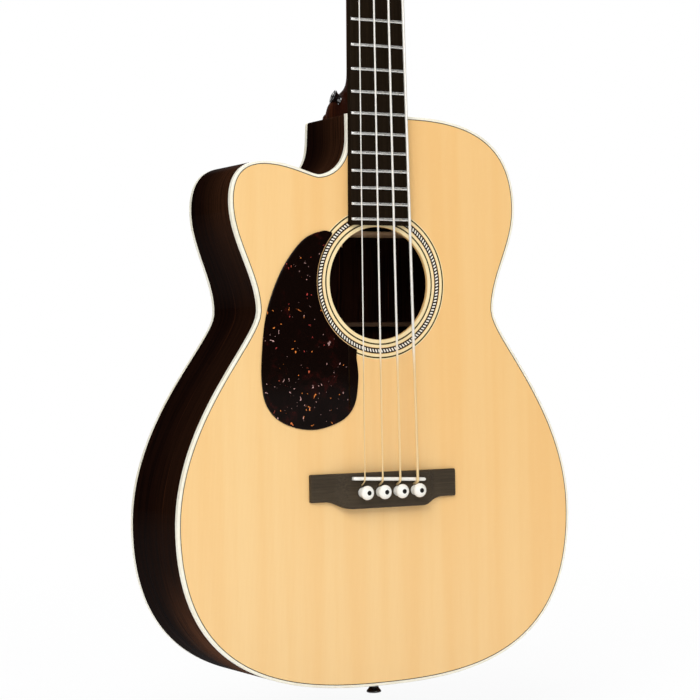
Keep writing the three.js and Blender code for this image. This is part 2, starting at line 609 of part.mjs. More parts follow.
// Saddle: a bar with a rounded crest
const saddleRound = saddle.width / 3;
const saddleShape = new THREE.Shape([[-saddle.width / 2, -saddle.seat - glueGap],
  [saddle.width / 2, -saddle.seat - glueGap],
  [saddle.width / 2, -saddle.crest + saddleRound], [saddleRound / 2, -saddle.crest],
  [-saddleRound / 2, -saddle.crest], [-saddle.width / 2, -saddle.crest + saddleRound]]
  .map(([z, y]) => point2(-z, y)));
addPart(bridgeFrame, 'saddle', saddlePlace(
  new THREE.ExtrudeGeometry(saddleShape, { depth: saddle.length, bevelEnabled: false })
    .translate(0, 0, -saddle.length / 2).rotateY(halfTurn / 2),
), looks.bone());

// Bridge pins: a tapered shaft with a groove for the string, a collar and a ball
const pinProfile = [[0, pin.length], [pin.tipRadius, pin.length], [pin.shaftRadius, 0],
  [pin.shaftRadius, -glueGap], [pin.collarRadius, -glueGap], [pin.collarRadius, -pin.collarTop],
  [pin.neckRadius, -pin.neckUp], [pin.ballRadius, -pin.ballFrom], [pin.ballRadius, -pin.ballTop],
  [pin.crownRadius, -pin.height + pin.rounding], [pin.crownRadius / 2, -pin.height], [0, -pin.height]];
const seatY = -bridge.height;
for (const [i, s] of strings.entries()) {
  const groove = box(-s.radius - stringRoom.side, s.radius + stringRoom.side, -glueGap,
    pin.length + overrun, pin.grooveFrom, pin.collarRadius + overrun);
  addPart(bridgeFrame, `bridge_pin_${i + 1}`, cut(turned(pinProfile, roundSides), groove)
    .translate(s.bridgeX, seatY, -pin.below), looks.bone());
}

// End pin in the tail, strap button on the heel
const buttonForm = { waist: 1, rim: 1.5, sides: 20 };
const buttonProfile = (p) => [[0, p.length], [p.shankRadius, p.length], [p.shankRadius, -glueGap],
  [p.headBase, -glueGap], [p.headBase - buttonForm.waist, -p.headLength / 2],
  [p.headRadius, -p.headLength + buttonForm.rim], [p.headRadius - buttonForm.waist, -p.headLength],
  [0, -p.headLength]];
addPart(body, 'end_pin', upright(turned(buttonProfile(endPin), buttonForm.sides))
  .translate(0, endPin.y, 0), looks.blackPlastic());

// Neck: rings across it from the body to the nut, deep at the heel
const neck = {
  nutHalf: 21.2, joinHalf: 28.4, thin: 19.6, thick: 21.8,
};
const heelCap = { half: 12.5, thickness: 2, sideRise: 6.5, sideShare: 0.9, rise: 10.5, topShare: 0.5 };
const heelDepth = backFace(0, bodyLength) - heelCap.thickness - glueGap;
const halfAt = (z) => neck.nutHalf + (neck.joinHalf - neck.nutHalf) * (z / neckJoinZ);
const depthDownShares = [0, 0.16, 0.36, 0.58, 0.78, 0.92, 1];
const roundShares = [1, 0.97, 0.89, 0.775, 0.62, 0.44, 0.26];
const heelShares = [1, 0.9, 0.77, 0.65, 0.55, 0.48, 0.431];
// Height above the body, depth as a share of the heel's, and how heel-like the section is
const heelRun = [[0, 1, 1], [6, 0.997, 0.995], [11, 0.98, 0.975], [16, 0.935, 0.93],
  [19.5, 0.85, 0.85], [22, 0.72, 0.72], [24.5, 0.56, 0.53], [27.5, 0.445, 0.36],
  [31.5, 0.36, 0.2], [37, 0.31, 0.08], [45, 0.285, 0]];
function neckRing(z, depth, heelShare) {
  const half = halfAt(z);
  const left = depthDownShares.map((v, i) => new THREE.Vector3(
    -half * (roundShares[i] * (1 - heelShare) + heelShares[i] * heelShare), v * depth, z));
  const right = [...left].reverse().map((p) => new THREE.Vector3(-p.x, p.y, p.z));
  return [...left, ...right];
}
const heelFoot = neckJoinZ + glueGap;
const shaftDepth = (z) => neck.thin + (neck.thick - neck.thin) * (z / neckJoinZ);
const shaftStops = 4;
const shaftStart = neckJoinZ + heelRun[heelRun.length - 1][0];
const neckRings = heelRun.map(([rise, depthShare, heelShare]) => neckRing(
  rise ? neckJoinZ + rise : heelFoot,
  rise < heelRun[heelRun.length - 1][0] ? heelDepth * depthShare : shaftDepth(shaftStart), heelShare));
for (let i = 1; i <= shaftStops; i += 1) {
  const z = shaftStart * (1 - i / shaftStops);
  neckRings.push(neckRing(z, shaftDepth(z), 0));
}
const tenon = box(-mortise.half + glueGap, mortise.half - glueGap, topSeat, mortise.floorY - glueGap,
  neckJoinZ - mortise.depth + glueGap, neckJoinZ + overrun);

// Headstock, tipped back from the nut; drawn in its own plane, height along it
const head = {
  tilt: 0.21, thickness: 15, length: 190, shoulder: 26, shoulderHalf: 34, topHalf: 37, corner: 9,
  start: 1, veneer: 1.6, veneerStart: 7, shoulderShare: 0.6, curveSteps: 5,
};
const headFrame = new THREE.Group();
headFrame.rotation.x = -head.tilt;
guitar.add(headFrame);
headFrame.updateMatrixWorld(true);
function headShape(from) {
  const half = neck.nutHalf;
  const bend = head.shoulder * head.shoulderShare;
  return new THREE.Shape()
    .moveTo(-half, from)
    .bezierCurveTo(-half, bend, -head.shoulderHalf, bend,
      -head.shoulderHalf, head.shoulder + head.corner)
    .lineTo(-head.topHalf, head.length - head.corner)
    .quadraticCurveTo(-head.topHalf, head.length, -head.topHalf + head.corner, head.length)
    .lineTo(head.topHalf - head.corner, head.length)
    .quadraticCurveTo(head.topHalf, head.length, head.topHalf, head.length - head.corner)
    .lineTo(head.shoulderHalf, head.shoulder + head.corner)
    .bezierCurveTo(head.shoulderHalf, bend, half, bend, half, from);
}
const tuner = {
  postX: 21, postRadius: 5, postHole: 5.5, postTop: 21, gearRadius: 10.5, gearRoot: 9, gearTeeth: 20,
  gearThickness: 6, wormRadius: 3.6, wormLength: 12, shaftRadius: 2.5, mesh: 0.5, plateThickness: 2,
  plateHalf: 13, plateBelow: 17, plateAbove: 23, ear: 2.5, keyReach: 25, paddleHalf: 12,
  paddleThickness: 4, postSlot: 1.6, slotDepth: 7, postCap: 1, earWall: 2, collar: 2, paddleShare: 0.9,
  keySides: 10,
};
const postHoles = (radius, yFrom, yTo) => strings.map((s) => rod(radius, yFrom, yTo)
  .translate(Math.sign(s.bridgeX) * tuner.postX, 0, s.postHeight));
const headBlank = cut(slab(headShape(head.start), 0, head.thickness, head.curveSteps),
  ...postHoles(tuner.postHole, -overrun, head.thickness + overrun));
const channelHalf = rodSeat.holeRadius;
const rodChannel = box(-channelHalf, channelHalf, -overrun, rodSeat.y + rodSeat.holeRadius,
  neckJoinZ - mortise.depth * 2, rodSeat.roomEnd);
const strapButton = { x: -21.3, y: 27, rise: 15.5, turn: 1.82, lift: 0.42, boreRadius: 2.6,
  shankRadius: 2.3, length: 16, headRadius: 6.5, headBase: 5, headLength: 9 };
const placeStrap = (geometry) => geometry.rotateX(-strapButton.lift).rotateZ(-strapButton.turn)
  .translate(strapButton.x, strapButton.y, neckJoinZ + strapButton.rise);
// The screw's hole, and a flat seat for the button on the rounded heel
const strapBore = placeStrap(join(
  rod(strapButton.boreRadius, -overrun, strapButton.length + glueGap),
  rod(strapButton.headBase + glueGap, -overrun, 0, buttonForm.sides),
));
const neckSolid = solidOf(loft(neckRings)).add(solidOf(tenon))
  .add(solidOf(headBlank.applyMatrix4(headFrame.matrixWorld)))
  .subtract(solidOf(rodChannel)).subtract(solidOf(strapBore));
addPart(guitar, 'neck', geometryOf(neckSolid), looks.neckWood());
addPart(headFrame, 'headstock_veneer', cut(slab(headShape(head.veneerStart),
  -head.veneer - glueGap, -glueGap, head.curveSteps),
...postHoles(tuner.postHole, -head.veneer - overrun, overrun)), looks.rosewood());

// Heel cap under the heel
const capCorners = [[1, 0], [heelCap.sideShare, heelCap.sideRise], [heelCap.topShare, heelCap.rise]];
const capRing = (y) => [...capCorners, ...[...capCorners].reverse().map(([share, rise]) => [-share, rise])]
  .map(([share, rise]) => new THREE.Vector3(share * heelCap.half, y, heelFoot + rise));
addPart(guitar, 'heel_cap', loft([capRing(heelDepth + glueGap),
  capRing(heelDepth + glueGap + heelCap.thickness)]), looks.ebony());

// Fingerboard with its fret slots, and the frets held together by a thin strip in a hidden groove
const boardHalf = (z) => board.nutHalf + (board.endHalf - board.nutHalf) * (z / boardEndZ);
const camberShares = [-1, -0.4, 0.4, 1];
const camberY = (share) => -board.thickness + board.edgeDrop * share * share;
const fret = { width: 2.8, crown: 1.1, tang: 0.6, tangDepth: 2.6, slot: 1.2, endInset: 0.4 };
const groove = { half: 1.4, depth: 4.1 };
function boardRing(z) {
  const half = boardHalf(z);
  const topRow = camberShares.map((share) => new THREE.Vector3(share * half, camberY(share), z));
  return [...topRow, new THREE.Vector3(half, -glueGap, z), new THREE.Vector3(-half, -glueGap, z)];
}
const fretNumbers = [...Array(fretCount).keys()].map((i) => i + 1);
const slots = fretNumbers.map((n) => {
  const z = fretZ(n);
  return box(-board.endHalf * 2, board.endHalf * 2, -board.thickness - overrun,
    -board.thickness + board.edgeDrop + fret.tangDepth, z - fret.slot / 2, z + fret.slot / 2);
});
const grooveStart = fretZ(fretCount) - glueGap * 2;
const grooveCut = box(-groove.half, groove.half, -groove.depth, overrun, grooveStart,
  fretZ(1) + glueGap * 2);
addPart(guitar, 'fingerboard', cut(loft([boardRing(boardEndZ), boardRing(0)]), ...slots, grooveCut),
  looks.ebony());
const crownShares = [[-1, 0], [-0.5, 0.95], [0.5, 0.95], [1, 0]];
function fretSolid(n) {
  const z = fretZ(n);
  const half = boardHalf(z) - fret.endInset;
  const rings = camberShares.map((share) => {
    const seat = camberY(share) - glueGap / 3;
    const tangEnd = -board.thickness + board.edgeDrop + fret.tangDepth - glueGap;
    return [...crownShares.map(([across, up]) =>
      new THREE.Vector3(share * half, seat - fret.crown * up, z + across * fret.width / 2)),
    new THREE.Vector3(share * half, seat, z + fret.tang / 2),
    new THREE.Vector3(share * half, tangEnd, z + fret.tang / 2),
    new THREE.Vector3(share * half, tangEnd, z - fret.tang / 2),
    new THREE.Vector3(share * half, seat, z - fret.tang / 2)];
  });
  return solidOf(loftConcave(rings));
}
// A loft whose end caps are cut into triangles by the section's own outline
function loftConcave(rings) {
  const size = rings[0].length;
  const flat = rings[0].map((p) => point2(p.z, p.y));
  const faces = THREE.ShapeUtils.triangulateShape(flat, []);
  const last = (rings.length - 1) * size;
  const triangles = [];
  for (let r = 0; r < rings.length - 1; r += 1) {
    for (let k = 0; k < size; k += 1) {
      const m = (k + 1) % size;
      const [here, next] = [r * size, (r + 1) * size];
      triangles.push(here + k, here + m, next + m, here + k, next + m, next + k);
    }
  }
  for (const [a, b, c] of faces) triangles.push(a, c, b, last + a, last + b, last + c);
  return meshFrom(rings.flat(), triangles);
}
const stripBar = { half: 1, top: 3.8, bottom: 1.5 };
let fretsSolid = solidOf(box(-stripBar.half, stripBar.half, -stripBar.top, -stripBar.bottom,
  fretZ(fretCount) - fret.tang / 2, fretZ(1) + fret.tang / 2));
for (const n of fretNumbers) fretsSolid = fretsSolid.add(fretSolid(n));
addPart(guitar, 'frets', geometryOf(fretsSolid), looks.nickel());

// Nut with a slot for each string
const nut = { thickness: 5, crest: 8.9, slotDepth: 1.2 };
const nutSlotFloor = -nut.crest + nut.slotDepth;
const nutSlots = strings.map((s) => {
  const half = s.radius + stringRoom.side;
  return box(s.nutX - half, s.nutX + half, -nut.crest - overrun, nutSlotFloor, -overrun,
    nut.thickness + overrun);
});
addPart(guitar, 'nut', cut(box(-neck.nutHalf, neck.nutHalf, -nut.crest, -glueGap,
  glueGap, nut.thickness), ...nutSlots), looks.bone());

addPart(guitar, 'strap_button', placeStrap(turned(buttonProfile(strapButton), buttonForm.sides)),
  looks.blackPlastic());

// Truss rod in its channel, and its adjusting nut, reached through the soundhole
const rodFoot = tailZ + blockTop - neckBlock.length;
const trussNut = { radius: 4.6, length: 12, bore: 2.3, socket: 2.9, socketDepth: 6, lead: 1 };
const threadLength = trussNut.length - trussNut.socketDepth - trussNut.lead;
addPart(guitar, 'truss_rod', join(upright(rod(rodSeat.radius, rodFoot, rodSeat.end)),
  upright(rod(trussNut.bore - glueGap * 2, rodFoot - threadLength, rodFoot + overrun)))
  .translate(0, rodSeat.y, 0), looks.steel());
addPart(guitar, 'truss_rod_nut', upright(turned([[trussNut.socket, -trussNut.length],
  [trussNut.radius, -trussNut.length], [trussNut.radius, 0], [trussNut.bore, 0],
  [trussNut.bore, -trussNut.length + trussNut.socketDepth],
  [trussNut.socket, -trussNut.length + trussNut.socketDepth], [trussNut.socket, -trussNut.length]], 6))
  .translate(0, rodSeat.y, rodFoot - glueGap), looks.steel());

// Tuners on the back of the headstock: a base plate with two ears, a post with its gear,
// and a key whose worm drives the gear
const plateY = head.thickness + glueGap;
const wormY = plateY + tuner.plateThickness + 2 * glueGap + tuner.wormRadius;
const gearY = wormY - tuner.gearThickness / 2;
const wormUp = tuner.gearRadius + tuner.wormRadius + tuner.mesh;
const earAt = tuner.wormLength / 2 + glueGap;
const earHalf = tuner.shaftRadius + tuner.earWall;
const sideways = (geometry, sign) => geometry.rotateZ(sign * -halfTurn / 2);

function gearShape() {
  const points = [];
  const toothTurn = (2 * halfTurn) / tuner.gearTeeth;
  for (let i = 0; i < tuner.gearTeeth; i += 1) {
    for (const [radius, share] of [[tuner.gearRoot, 0], [tuner.gearRadius, 0.5]]) {
      const angle = (i + share) * toothTurn;
      points.push([radius * Math.cos(angle), radius * Math.sin(angle)]);
    }
  }
  return shapeOf(points);
}

function addTuner(label, sign, up) {
  const frame = new THREE.Group();
  frame.position.set(sign * tuner.postX, 0, up);
  headFrame.add(frame);
  const ear = (x) => box(x, x + tuner.ear, plateY + glueGap, wormY + earHalf,
    wormUp - earHalf, wormUp + earHalf);
  addPart(frame, `tuner_bracket_${label}`, cut(join(
    box(-tuner.plateHalf, tuner.plateHalf, plateY, plateY + tuner.plateThickness,
      -tuner.plateBelow, tuner.plateAbove),
    ear(earAt), ear(-earAt - tuner.ear),
  ), rod(tuner.postHole, plateY - overrun, plateY + tuner.plateThickness + overrun),
  sideways(rod(tuner.shaftRadius + glueGap, -tuner.plateHalf * 2, tuner.plateHalf * 2), sign)
    .translate(0, wormY, wormUp)), looks.nickel());
  const slot = box(-tuner.postSlot, tuner.postSlot, -tuner.postTop - overrun,
    -tuner.postTop + tuner.slotDepth, -tuner.postRadius * 2, tuner.postRadius * 2);
  addPart(frame, `tuner_post_${label}`, cut(join(
    slab(gearShape(), gearY, gearY + tuner.gearThickness),
    rod(tuner.postRadius, -tuner.postTop, gearY + tuner.gearThickness + tuner.postCap),
  ), slot), looks.nickel());
  const paddle = new THREE.Shape().absellipse(sign * (tuner.keyReach + tuner.paddleHalf), wormUp,
    tuner.paddleHalf, tuner.paddleHalf * tuner.paddleShare, 0, 2 * halfTurn, false);
  const paddleY = wormY - tuner.paddleThickness / 2;
  const pastEar = -earAt - tuner.ear - glueGap;
  const keyProfile = [[0, pastEar - tuner.collar], [tuner.wormRadius, pastEar - tuner.collar],
    [tuner.wormRadius, pastEar], [tuner.shaftRadius, pastEar],
    [tuner.shaftRadius, -tuner.wormLength / 2], [tuner.wormRadius, -tuner.wormLength / 2],
    [tuner.wormRadius, tuner.wormLength / 2], [tuner.shaftRadius, tuner.wormLength / 2],
    [tuner.shaftRadius, tuner.keyReach + tuner.collar], [0, tuner.keyReach + tuner.collar]];
  addPart(frame, `tuner_key_${label}`, join(
    sideways(turned(keyProfile, tuner.keySides), sign).translate(0, wormY, wormUp),
    slab(paddle, paddleY, paddleY + tuner.paddleThickness, tuner.keySides),
  ), looks.nickel());
}
for (const s of strings) addTuner(s.post, Math.sign(s.bridgeX), s.postHeight);

// A tube along a route of [point, radius], its sides carried smoothly round each bend
function tube(route, sides) {
  const rings = [];
  let across = new THREE.Vector3(1, 0, 0);
  route.forEach(([point, radius], i) => {
    const before = route[Math.max(i - 1, 0)][0];
    const after = route[Math.min(i + 1, route.length - 1)][0];
    const along = new THREE.Vector3().subVectors(after, before).normalize();
    across = across.clone().addScaledVector(along, -across.dot(along)).normalize();
    const up = new THREE.Vector3().crossVectors(along, across);
    rings.push([...Array(sides).keys()].map((k) => {
      const turn = (k / sides) * 2 * halfTurn;
      return point.clone().addScaledVector(across, radius * Math.cos(turn))
        .addScaledVector(up, radius * Math.sin(turn));
    }));
  });
  return loft(rings);
}

// Strings: ball end under the bridge plate, up the notch, over saddle and nut, round the post
const windings = { loops: 2, steps: 24, spare: 0.5, floor: 4.5, sides: 6 };
const ball = { radius: 2.6, ahead: 5.8, y: 10.4, lean: 0.5, shoulderShare: 0.65, roundShare: 0.8 };

function windingOf(s) {
  const sign = Math.sign(s.bridgeX);
  const radius = tuner.postRadius + glueGap + s.radius;
  const pitch = 2 * s.radius + windings.spare;
  const places = [];
  const total = windings.loops * windings.steps;
  for (let i = 0; i <= total; i += 1) {
    const turn = (i / windings.steps) * 2 * halfTurn;
    const angle = sign > 0 ? halfTurn - turn : turn;
    places.push(new THREE.Vector3(sign * tuner.postX + radius * Math.cos(angle),
      -windings.floor - pitch * (i / windings.steps), s.postHeight + radius * Math.sin(angle)));
  }
  const first = places[0].clone().add(new THREE.Vector3(0, 0, -2 * s.radius));
  const last = places[total].clone().add(new THREE.Vector3(0, 0, 2 * s.radius));
  return [first, ...places, last].map((p) => p.applyMatrix4(headFrame.matrixWorld));
}

function leastGap(places, radius) {
  let least = Infinity;
  for (let i = 0; i < places.length; i += 1) {
    for (let j = i + windings.steps / 2; j < places.length; j += 1) {
      least = Math.min(least, places[i].distanceTo(places[j]) - 2 * radius);
    }
  }
  return least;
}

for (const s of strings) {
  const foot = -scaleLength - pin.below;
  const at = (y, z) => new THREE.Vector3(s.bridgeX, y, z);
  const crestY = -saddle.crest - glueGap - s.radius;
  const crestZ = -scaleLength + saddleZ(s.bridgeX);
  const nutY = nutSlotFloor - glueGap - s.radius;
  const winding = windingOf(s);
  const ballZ = foot + ball.ahead;
  const shoulder = ball.radius * ball.shoulderShare;
  const route = [
    [at(ball.y + ball.radius, ballZ), ball.radius / 2],
    [at(ball.y + shoulder, ballZ), ball.radius * ball.roundShare],
    [at(ball.y, ballZ), ball.radius],
    [at(ball.y - shoulder, ballZ - ball.lean), ball.radius * ball.roundShare],
    [at(ball.y - ball.radius, ballZ - ball.lean * 2), s.radius],
    [at(topSeat + plate.thickness + glueGap, foot + stringRoom.ahead), s.radius],
    [at(-ramp.floor, foot + stringRoom.ahead), s.radius],
    [at(-ramp.floor - ramp.rise, foot + stringRoom.notch), s.radius],
    [at(crestY + glueGap, crestZ - saddle.width / 2 - stringRoom.side), s.radius],
    [at(crestY, crestZ), s.radius],
    [new THREE.Vector3(s.nutX, nutY, 0), s.radius],
    [new THREE.Vector3(s.nutX, nutY, nut.thickness), s.radius],
    ...winding.map((place) => [place, s.radius]),
  ];
  console.log(`${s.name}: least gap between turns ${leastGap(winding, s.radius).toFixed(2)} mm`);
  addPart(guitar, s.name, tube(route, windings.sides), looks.bronze());
}

export default guitar;
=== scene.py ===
from math import atan, atan2, copysign, cos, pi, radians, sin, sqrt

import bmesh
import bpy
from mathutils import Matrix, Vector


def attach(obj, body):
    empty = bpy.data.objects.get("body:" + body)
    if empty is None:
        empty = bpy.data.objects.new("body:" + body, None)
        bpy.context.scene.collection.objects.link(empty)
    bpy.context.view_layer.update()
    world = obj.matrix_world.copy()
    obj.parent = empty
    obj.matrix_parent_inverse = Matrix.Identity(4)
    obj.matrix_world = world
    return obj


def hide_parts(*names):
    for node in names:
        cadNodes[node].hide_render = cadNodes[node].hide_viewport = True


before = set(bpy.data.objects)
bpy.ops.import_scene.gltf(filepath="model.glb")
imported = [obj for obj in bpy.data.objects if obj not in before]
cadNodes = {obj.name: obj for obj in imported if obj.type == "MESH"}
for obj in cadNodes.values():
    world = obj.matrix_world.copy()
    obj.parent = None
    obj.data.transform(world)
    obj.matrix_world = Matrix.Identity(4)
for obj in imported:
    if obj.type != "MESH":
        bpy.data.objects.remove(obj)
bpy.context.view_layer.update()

mm = 0.001  # shapes are worked out in millimetres
print("frame loaded:", len(cadNodes), "nodes")


class Sizes(dict):  # the settings of a piece, read by name
    __getattr__ = dict.__getitem__


# Finishes
def both(operation):  # an operator and its reflected form, so that 1 - mask works
    return (lambda self, other: self.sum(operation, self, other),
        lambda self, other: self.sum(operation, other, self))


class Shade:  # one socket, usable in sums
    def __init__(self, finish, socket):
        self.finish, self.socket = finish, socket

    def sum(self, operation, first, second=0.0):
        return self.finish.node("Math", {"operation": operation}, {0: first, 1: second})

    __add__, __radd__ = both("ADD")
    __sub__, __rsub__ = both("SUBTRACT")
    __mul__, __rmul__ = both("MULTIPLY")
    __truediv__, __rtruediv__ = both("DIVIDE")
    __mod__, __rmod__ = both("FLOORED_MODULO")

    def __abs__(self):
        return self.sum("ABSOLUTE", self)

    def wave(self):
        return self.sum("SINE", self)

    def ease(self, low, high, start=0.0, end=1.0):  # a soft step from start to end
        return self.finish.node("MapRange", {"interpolation_type": "SMOOTHSTEP"},
            {"Value": self, "From Min": low, "From Max": high, "To Min": start, "To Max": end})


class Finish:  # a material on the way
    def __init__(self, name, **fixed):
        self.material = bpy.data.materials.new(name)
        self.material.use_nodes = True
        self.tree = self.material.node_tree
        self.shader = self.tree.nodes["Principled BSDF"]
        self.surface(**fixed)

    def surface(self, **sockets):
        self.feed(self.shader, {key.replace("_", " "): value for key, value in sockets.items()})
        return self

    def feed(self, node, sockets):
        for key, value in sockets.items():
            if isinstance(value, Shade):
                self.tree.links.new(value.socket, node.inputs[key])
            else:
                node.inputs[key].default_value = value

    def node(self, kind, settings=None, sockets=None, out=0):
        node = self.tree.nodes.new("ShaderNode" + kind)
        for key, value in (settings or {}).items():
            if key == "stops":
                stops = node.color_ramp.elements
                while len(stops) < len(value):
                    stops.new(1.0)
                for stop, (place, colour) in zip(stops, value):
                    stop.position, stop.color = place, (*colour, 1.0)
            else:
                setattr(node, key, value)
        self.feed(node, sockets or {})
        return Shade(self, node.outputs[out])

    # shorthands for the nodes that every finish uses
    def place(self, way="Object"):
        return self.node("TexCoord", out=way)

    def carried(self, name):
        return self.node("Attribute", {"attribute_name": name}, out="Vector")

    def parts(self, vector, axis):
        return self.node("SeparateXYZ", None, {0: vector}, axis)

    def stretch(self, vector, x, y, z):
        return self.node("VectorMath", {"operation": "MULTIPLY"}, {0: vector, 1: (x, y, z)})

    def noise(self, vector, scale=1.0, detail=3.0, rough=0.5, warp=0.0):
        return self.node("TexNoise", None, {"Vector": vector, "Scale": scale, "Detail": detail,
            "Roughness": rough, "Distortion": warp})

    def grain(self, vector, run, detail=1.0, rough=0.5, warp=0.0):  # noise, stretched differently each way
        return self.noise(self.stretch(vector, *run), 1.0, detail, rough, warp)

    def weave(self, x, y, z, detail=1.0, rough=0.5, warp=0.0):  # noise over three worked-out numbers
        return self.noise(self.node("CombineXYZ", None, {0: x, 1: y, 2: z}), 1.0, detail, rough, warp)

    def cells(self, vector, scale, out="Distance"):
        return self.node("TexVoronoi", None, {"Vector": vector, "Scale": scale}, out)

    def blend(self, factor, first, second):
        pair = [(*v, 1.0) if isinstance(v, tuple) else v for v in (first, second)]
        return self.node("Mix", {"data_type": "RGBA"}, {0: factor, 6: pair[0], 7: pair[1]}, 2)

    def relief(self, height, distance, strength=1.0):
        return self.node("Bump", None, {"Strength": strength, "Distance": distance, "Height": height})


def spruceFinish():
    look = Sizes(pale=(0.93, 0.635, 0.285), ring=(0.80, 0.43, 0.135), deep=(0.90, 0.55, 0.21),
        ringPitch=0.00125, band=26.0)
    made = Finish("spruceLacquer", Coat_Roughness=0.12, Coat_IOR=1.5, Specular_IOR_Level=0.35)
    place = made.place()
    x = abs(made.parts(place, 0))  # two halves, opened like a book
    z = made.parts(place, 2)
    drift = made.weave(x * 9.0, 0.0, z * 2.2, 2.0) * 3.2
    rings = (x / look.ringPitch + drift) % 1.0
    line = rings.ease(0.45, 0.93) * rings.ease(1.0, 0.93)
    fibre = made.weave(x * 2600.0, 0.0, z * 30.0, 2.0)
    band = made.weave(x * look.band, 0.0, z * 0.9, 3.0, 0.6)
    silk = made.weave(x * 160.0, 0.0, z * 420.0, 3.0, 0.6, 0.6)
    upperBassDeeper = (made.parts(place, 0) + z * 0.6).ease(-0.70, -0.25)  # a little deeper towards the upper bass side
    tone = made.blend(band.ease(0.36, 0.66) * 0.6 + upperBassDeeper * 0.6, look.pale, look.deep)
    tone = made.blend(line * 0.22, tone, look.ring)
    tone = made.blend(fibre.ease(0.35, 0.75) * 0.10, tone, look.ring)
    tone = made.blend(silk.ease(0.52, 0.7) * 0.10, tone, look.pale)
    height = line * -0.35 + fibre * 0.25 + silk * 0.1
    return made.surface(Base_Color=tone, Roughness=silk.ease(0.3, 0.8, 0.42, 0.52),
        Coat_Weight=band.ease(0.2, 0.8, 0.5, 0.62), Normal=made.relief(height, 0.00006))


def rosewoodFinish(name, attribute=None, gloss=0.1, lift=1.0):
    # glow is the red of the painted sheen along the sides' front edge
    look = Sizes(dark=(0.0035, 0.0016, 0.0013), mid=(0.012, 0.0042, 0.0024), red=(0.050, 0.015, 0.0065),
        glow=(0.105, 0.040, 0.017))
    dark, mid, red = (tuple(v * lift for v in tint) for tint in (look.dark, look.mid, look.red))
    made = Finish(name, Coat_IOR=1.4, Coat_Roughness=gloss, Specular_IOR_Level=0.0)
    place = made.carried(attribute) if attribute else made.place()
    along, across, depth = (made.parts(place, axis) for axis in ((0, 1, 2) if attribute else (2, 0, 1)))
    sway = made.weave(across * 14.0, depth * 14.0, along * 3.0, 2.0) * 0.02
    streak = made.weave((across + sway) * 150.0, depth * 60.0, along * 3.5, 4.0, 0.6)
    fine = made.weave((across + sway) * 900.0, depth * 300.0, along * 14.0, 3.0, 0.6)
    pore = made.weave(across * 4200.0, depth * 1500.0, along * 160.0).ease(0.66, 0.74)
    tone = made.node("ValToRGB", {"stops": [(0.30, dark), (0.47, mid), (0.56, dark), (0.72, red)]},
        {0: streak * 0.7 + fine * 0.3})
    if attribute:  # partly the wood's red streaks, partly painted sheen: redder near the front edge, most of all low down and round the horn
        height = made.parts(made.place(), 2)
        sheenZone = height.ease(-0.93, -1.04) * 1.1 + height.ease(-0.70, -0.62) * 0.2 + 0.1
        tone = made.blend(fine.ease(0.3, 0.6) * sheenZone * across.ease(0.07, 0.01), tone, look.glow)
    tone = made.blend(pore * 0.7, tone, dark)
    return made.surface(Base_Color=tone, Roughness=fine.ease(0.3, 0.7, 0.32, 0.42),
        Coat_Weight=streak.ease(0.2, 0.8, 0.02, 0.04), Normal=made.relief(fine - pore, 0.00003))


def ivoryFinish():
    made = Finish("ivoryTrim", Coat_Roughness=0.08, Specular_IOR_Level=0.5)
    place = made.place()
    cloud = made.noise(place, 60.0, 3.0)
    streak = made.grain(place, (900.0, 900.0, 90.0), 2.0)
    tone = made.blend(cloud.ease(0.3, 0.7), (0.95, 0.915, 0.78), (0.90, 0.84, 0.67))
    tone = made.blend(streak.ease(0.5, 0.8) * 0.25, tone, (0.78, 0.68, 0.47))
    speck = made.noise(place, 2400.0, 1.0)
    return made.surface(Base_Color=tone, Roughness=cloud.ease(0.2, 0.8, 0.24, 0.34),
        Coat_Weight=cloud.ease(0.2, 0.8, 0.45, 0.6), Normal=made.relief(speck, 0.00001))


def plainFinish(name, low, high, rough, scale=90.0, coat=(0.0, 0.0), depth=0.00002, **fixed):
    made = Finish(name, **fixed)
    place = made.place()
    cloud = made.noise(place, scale, 4.0, 0.6)
    speck = made.noise(place, 1500.0, 2.0)
    tone = made.blend(cloud.ease(0.3, 0.7), low, high)
    return made.surface(Base_Color=tone, Roughness=(cloud * 0.7 + speck * 0.3).ease(0.3, 0.7, *rough),
        Coat_Weight=cloud.ease(0.2, 0.8, *coat), Normal=made.relief(speck, depth))


def woodFinish(name, pale, dark, rough=(0.55, 0.7), axis="Z", pitch=420.0, coat=(0.0, 0.0), depth=0.00005,
        mirror=0.25):
    made = Finish(name, Coat_Roughness=0.15, Specular_IOR_Level=mirror)
    place = made.place()
    run = {"X": (6.0, pitch, pitch), "Z": (pitch, pitch, 6.0)}[axis]
    sway = made.grain(place, [v / 30.0 for v in run], 2.0)
    grain = made.grain(place, run, 4.0, 0.65, 0.4)
    pore = made.grain(place, [v * 6.0 for v in run]).ease(0.62, 0.72)
    tone = made.blend((grain * 0.7 + sway * 0.3).ease(0.3, 0.7), pale, dark)
    tone = made.blend(pore * 0.5, tone, tuple(v * 0.5 for v in dark))
    return made.surface(Base_Color=tone, Roughness=grain.ease(0.3, 0.7, *rough),
        Coat_Weight=grain.ease(0.2, 0.8, *coat), Normal=made.relief(grain * 0.6 - pore, depth))


def metalFinish(name, low, high, rough, run=(2200.0, 2200.0, 2200.0)):
    made = Finish(name)
    place = made.place()
    cloud = made.noise(place, 260.0, 4.0, 0.6)
    lines = made.grain(place, run, 2.0)
    return made.surface(Base_Color=made.blend(cloud.ease(0.3, 0.7), low, high),
        Roughness=(cloud * 0.5 + lines * 0.5).ease(0.3, 0.7, *rough),
        Metallic=cloud.ease(0.0, 0.2, 0.97, 1.0), Normal=made.relief(lines, 0.00001))


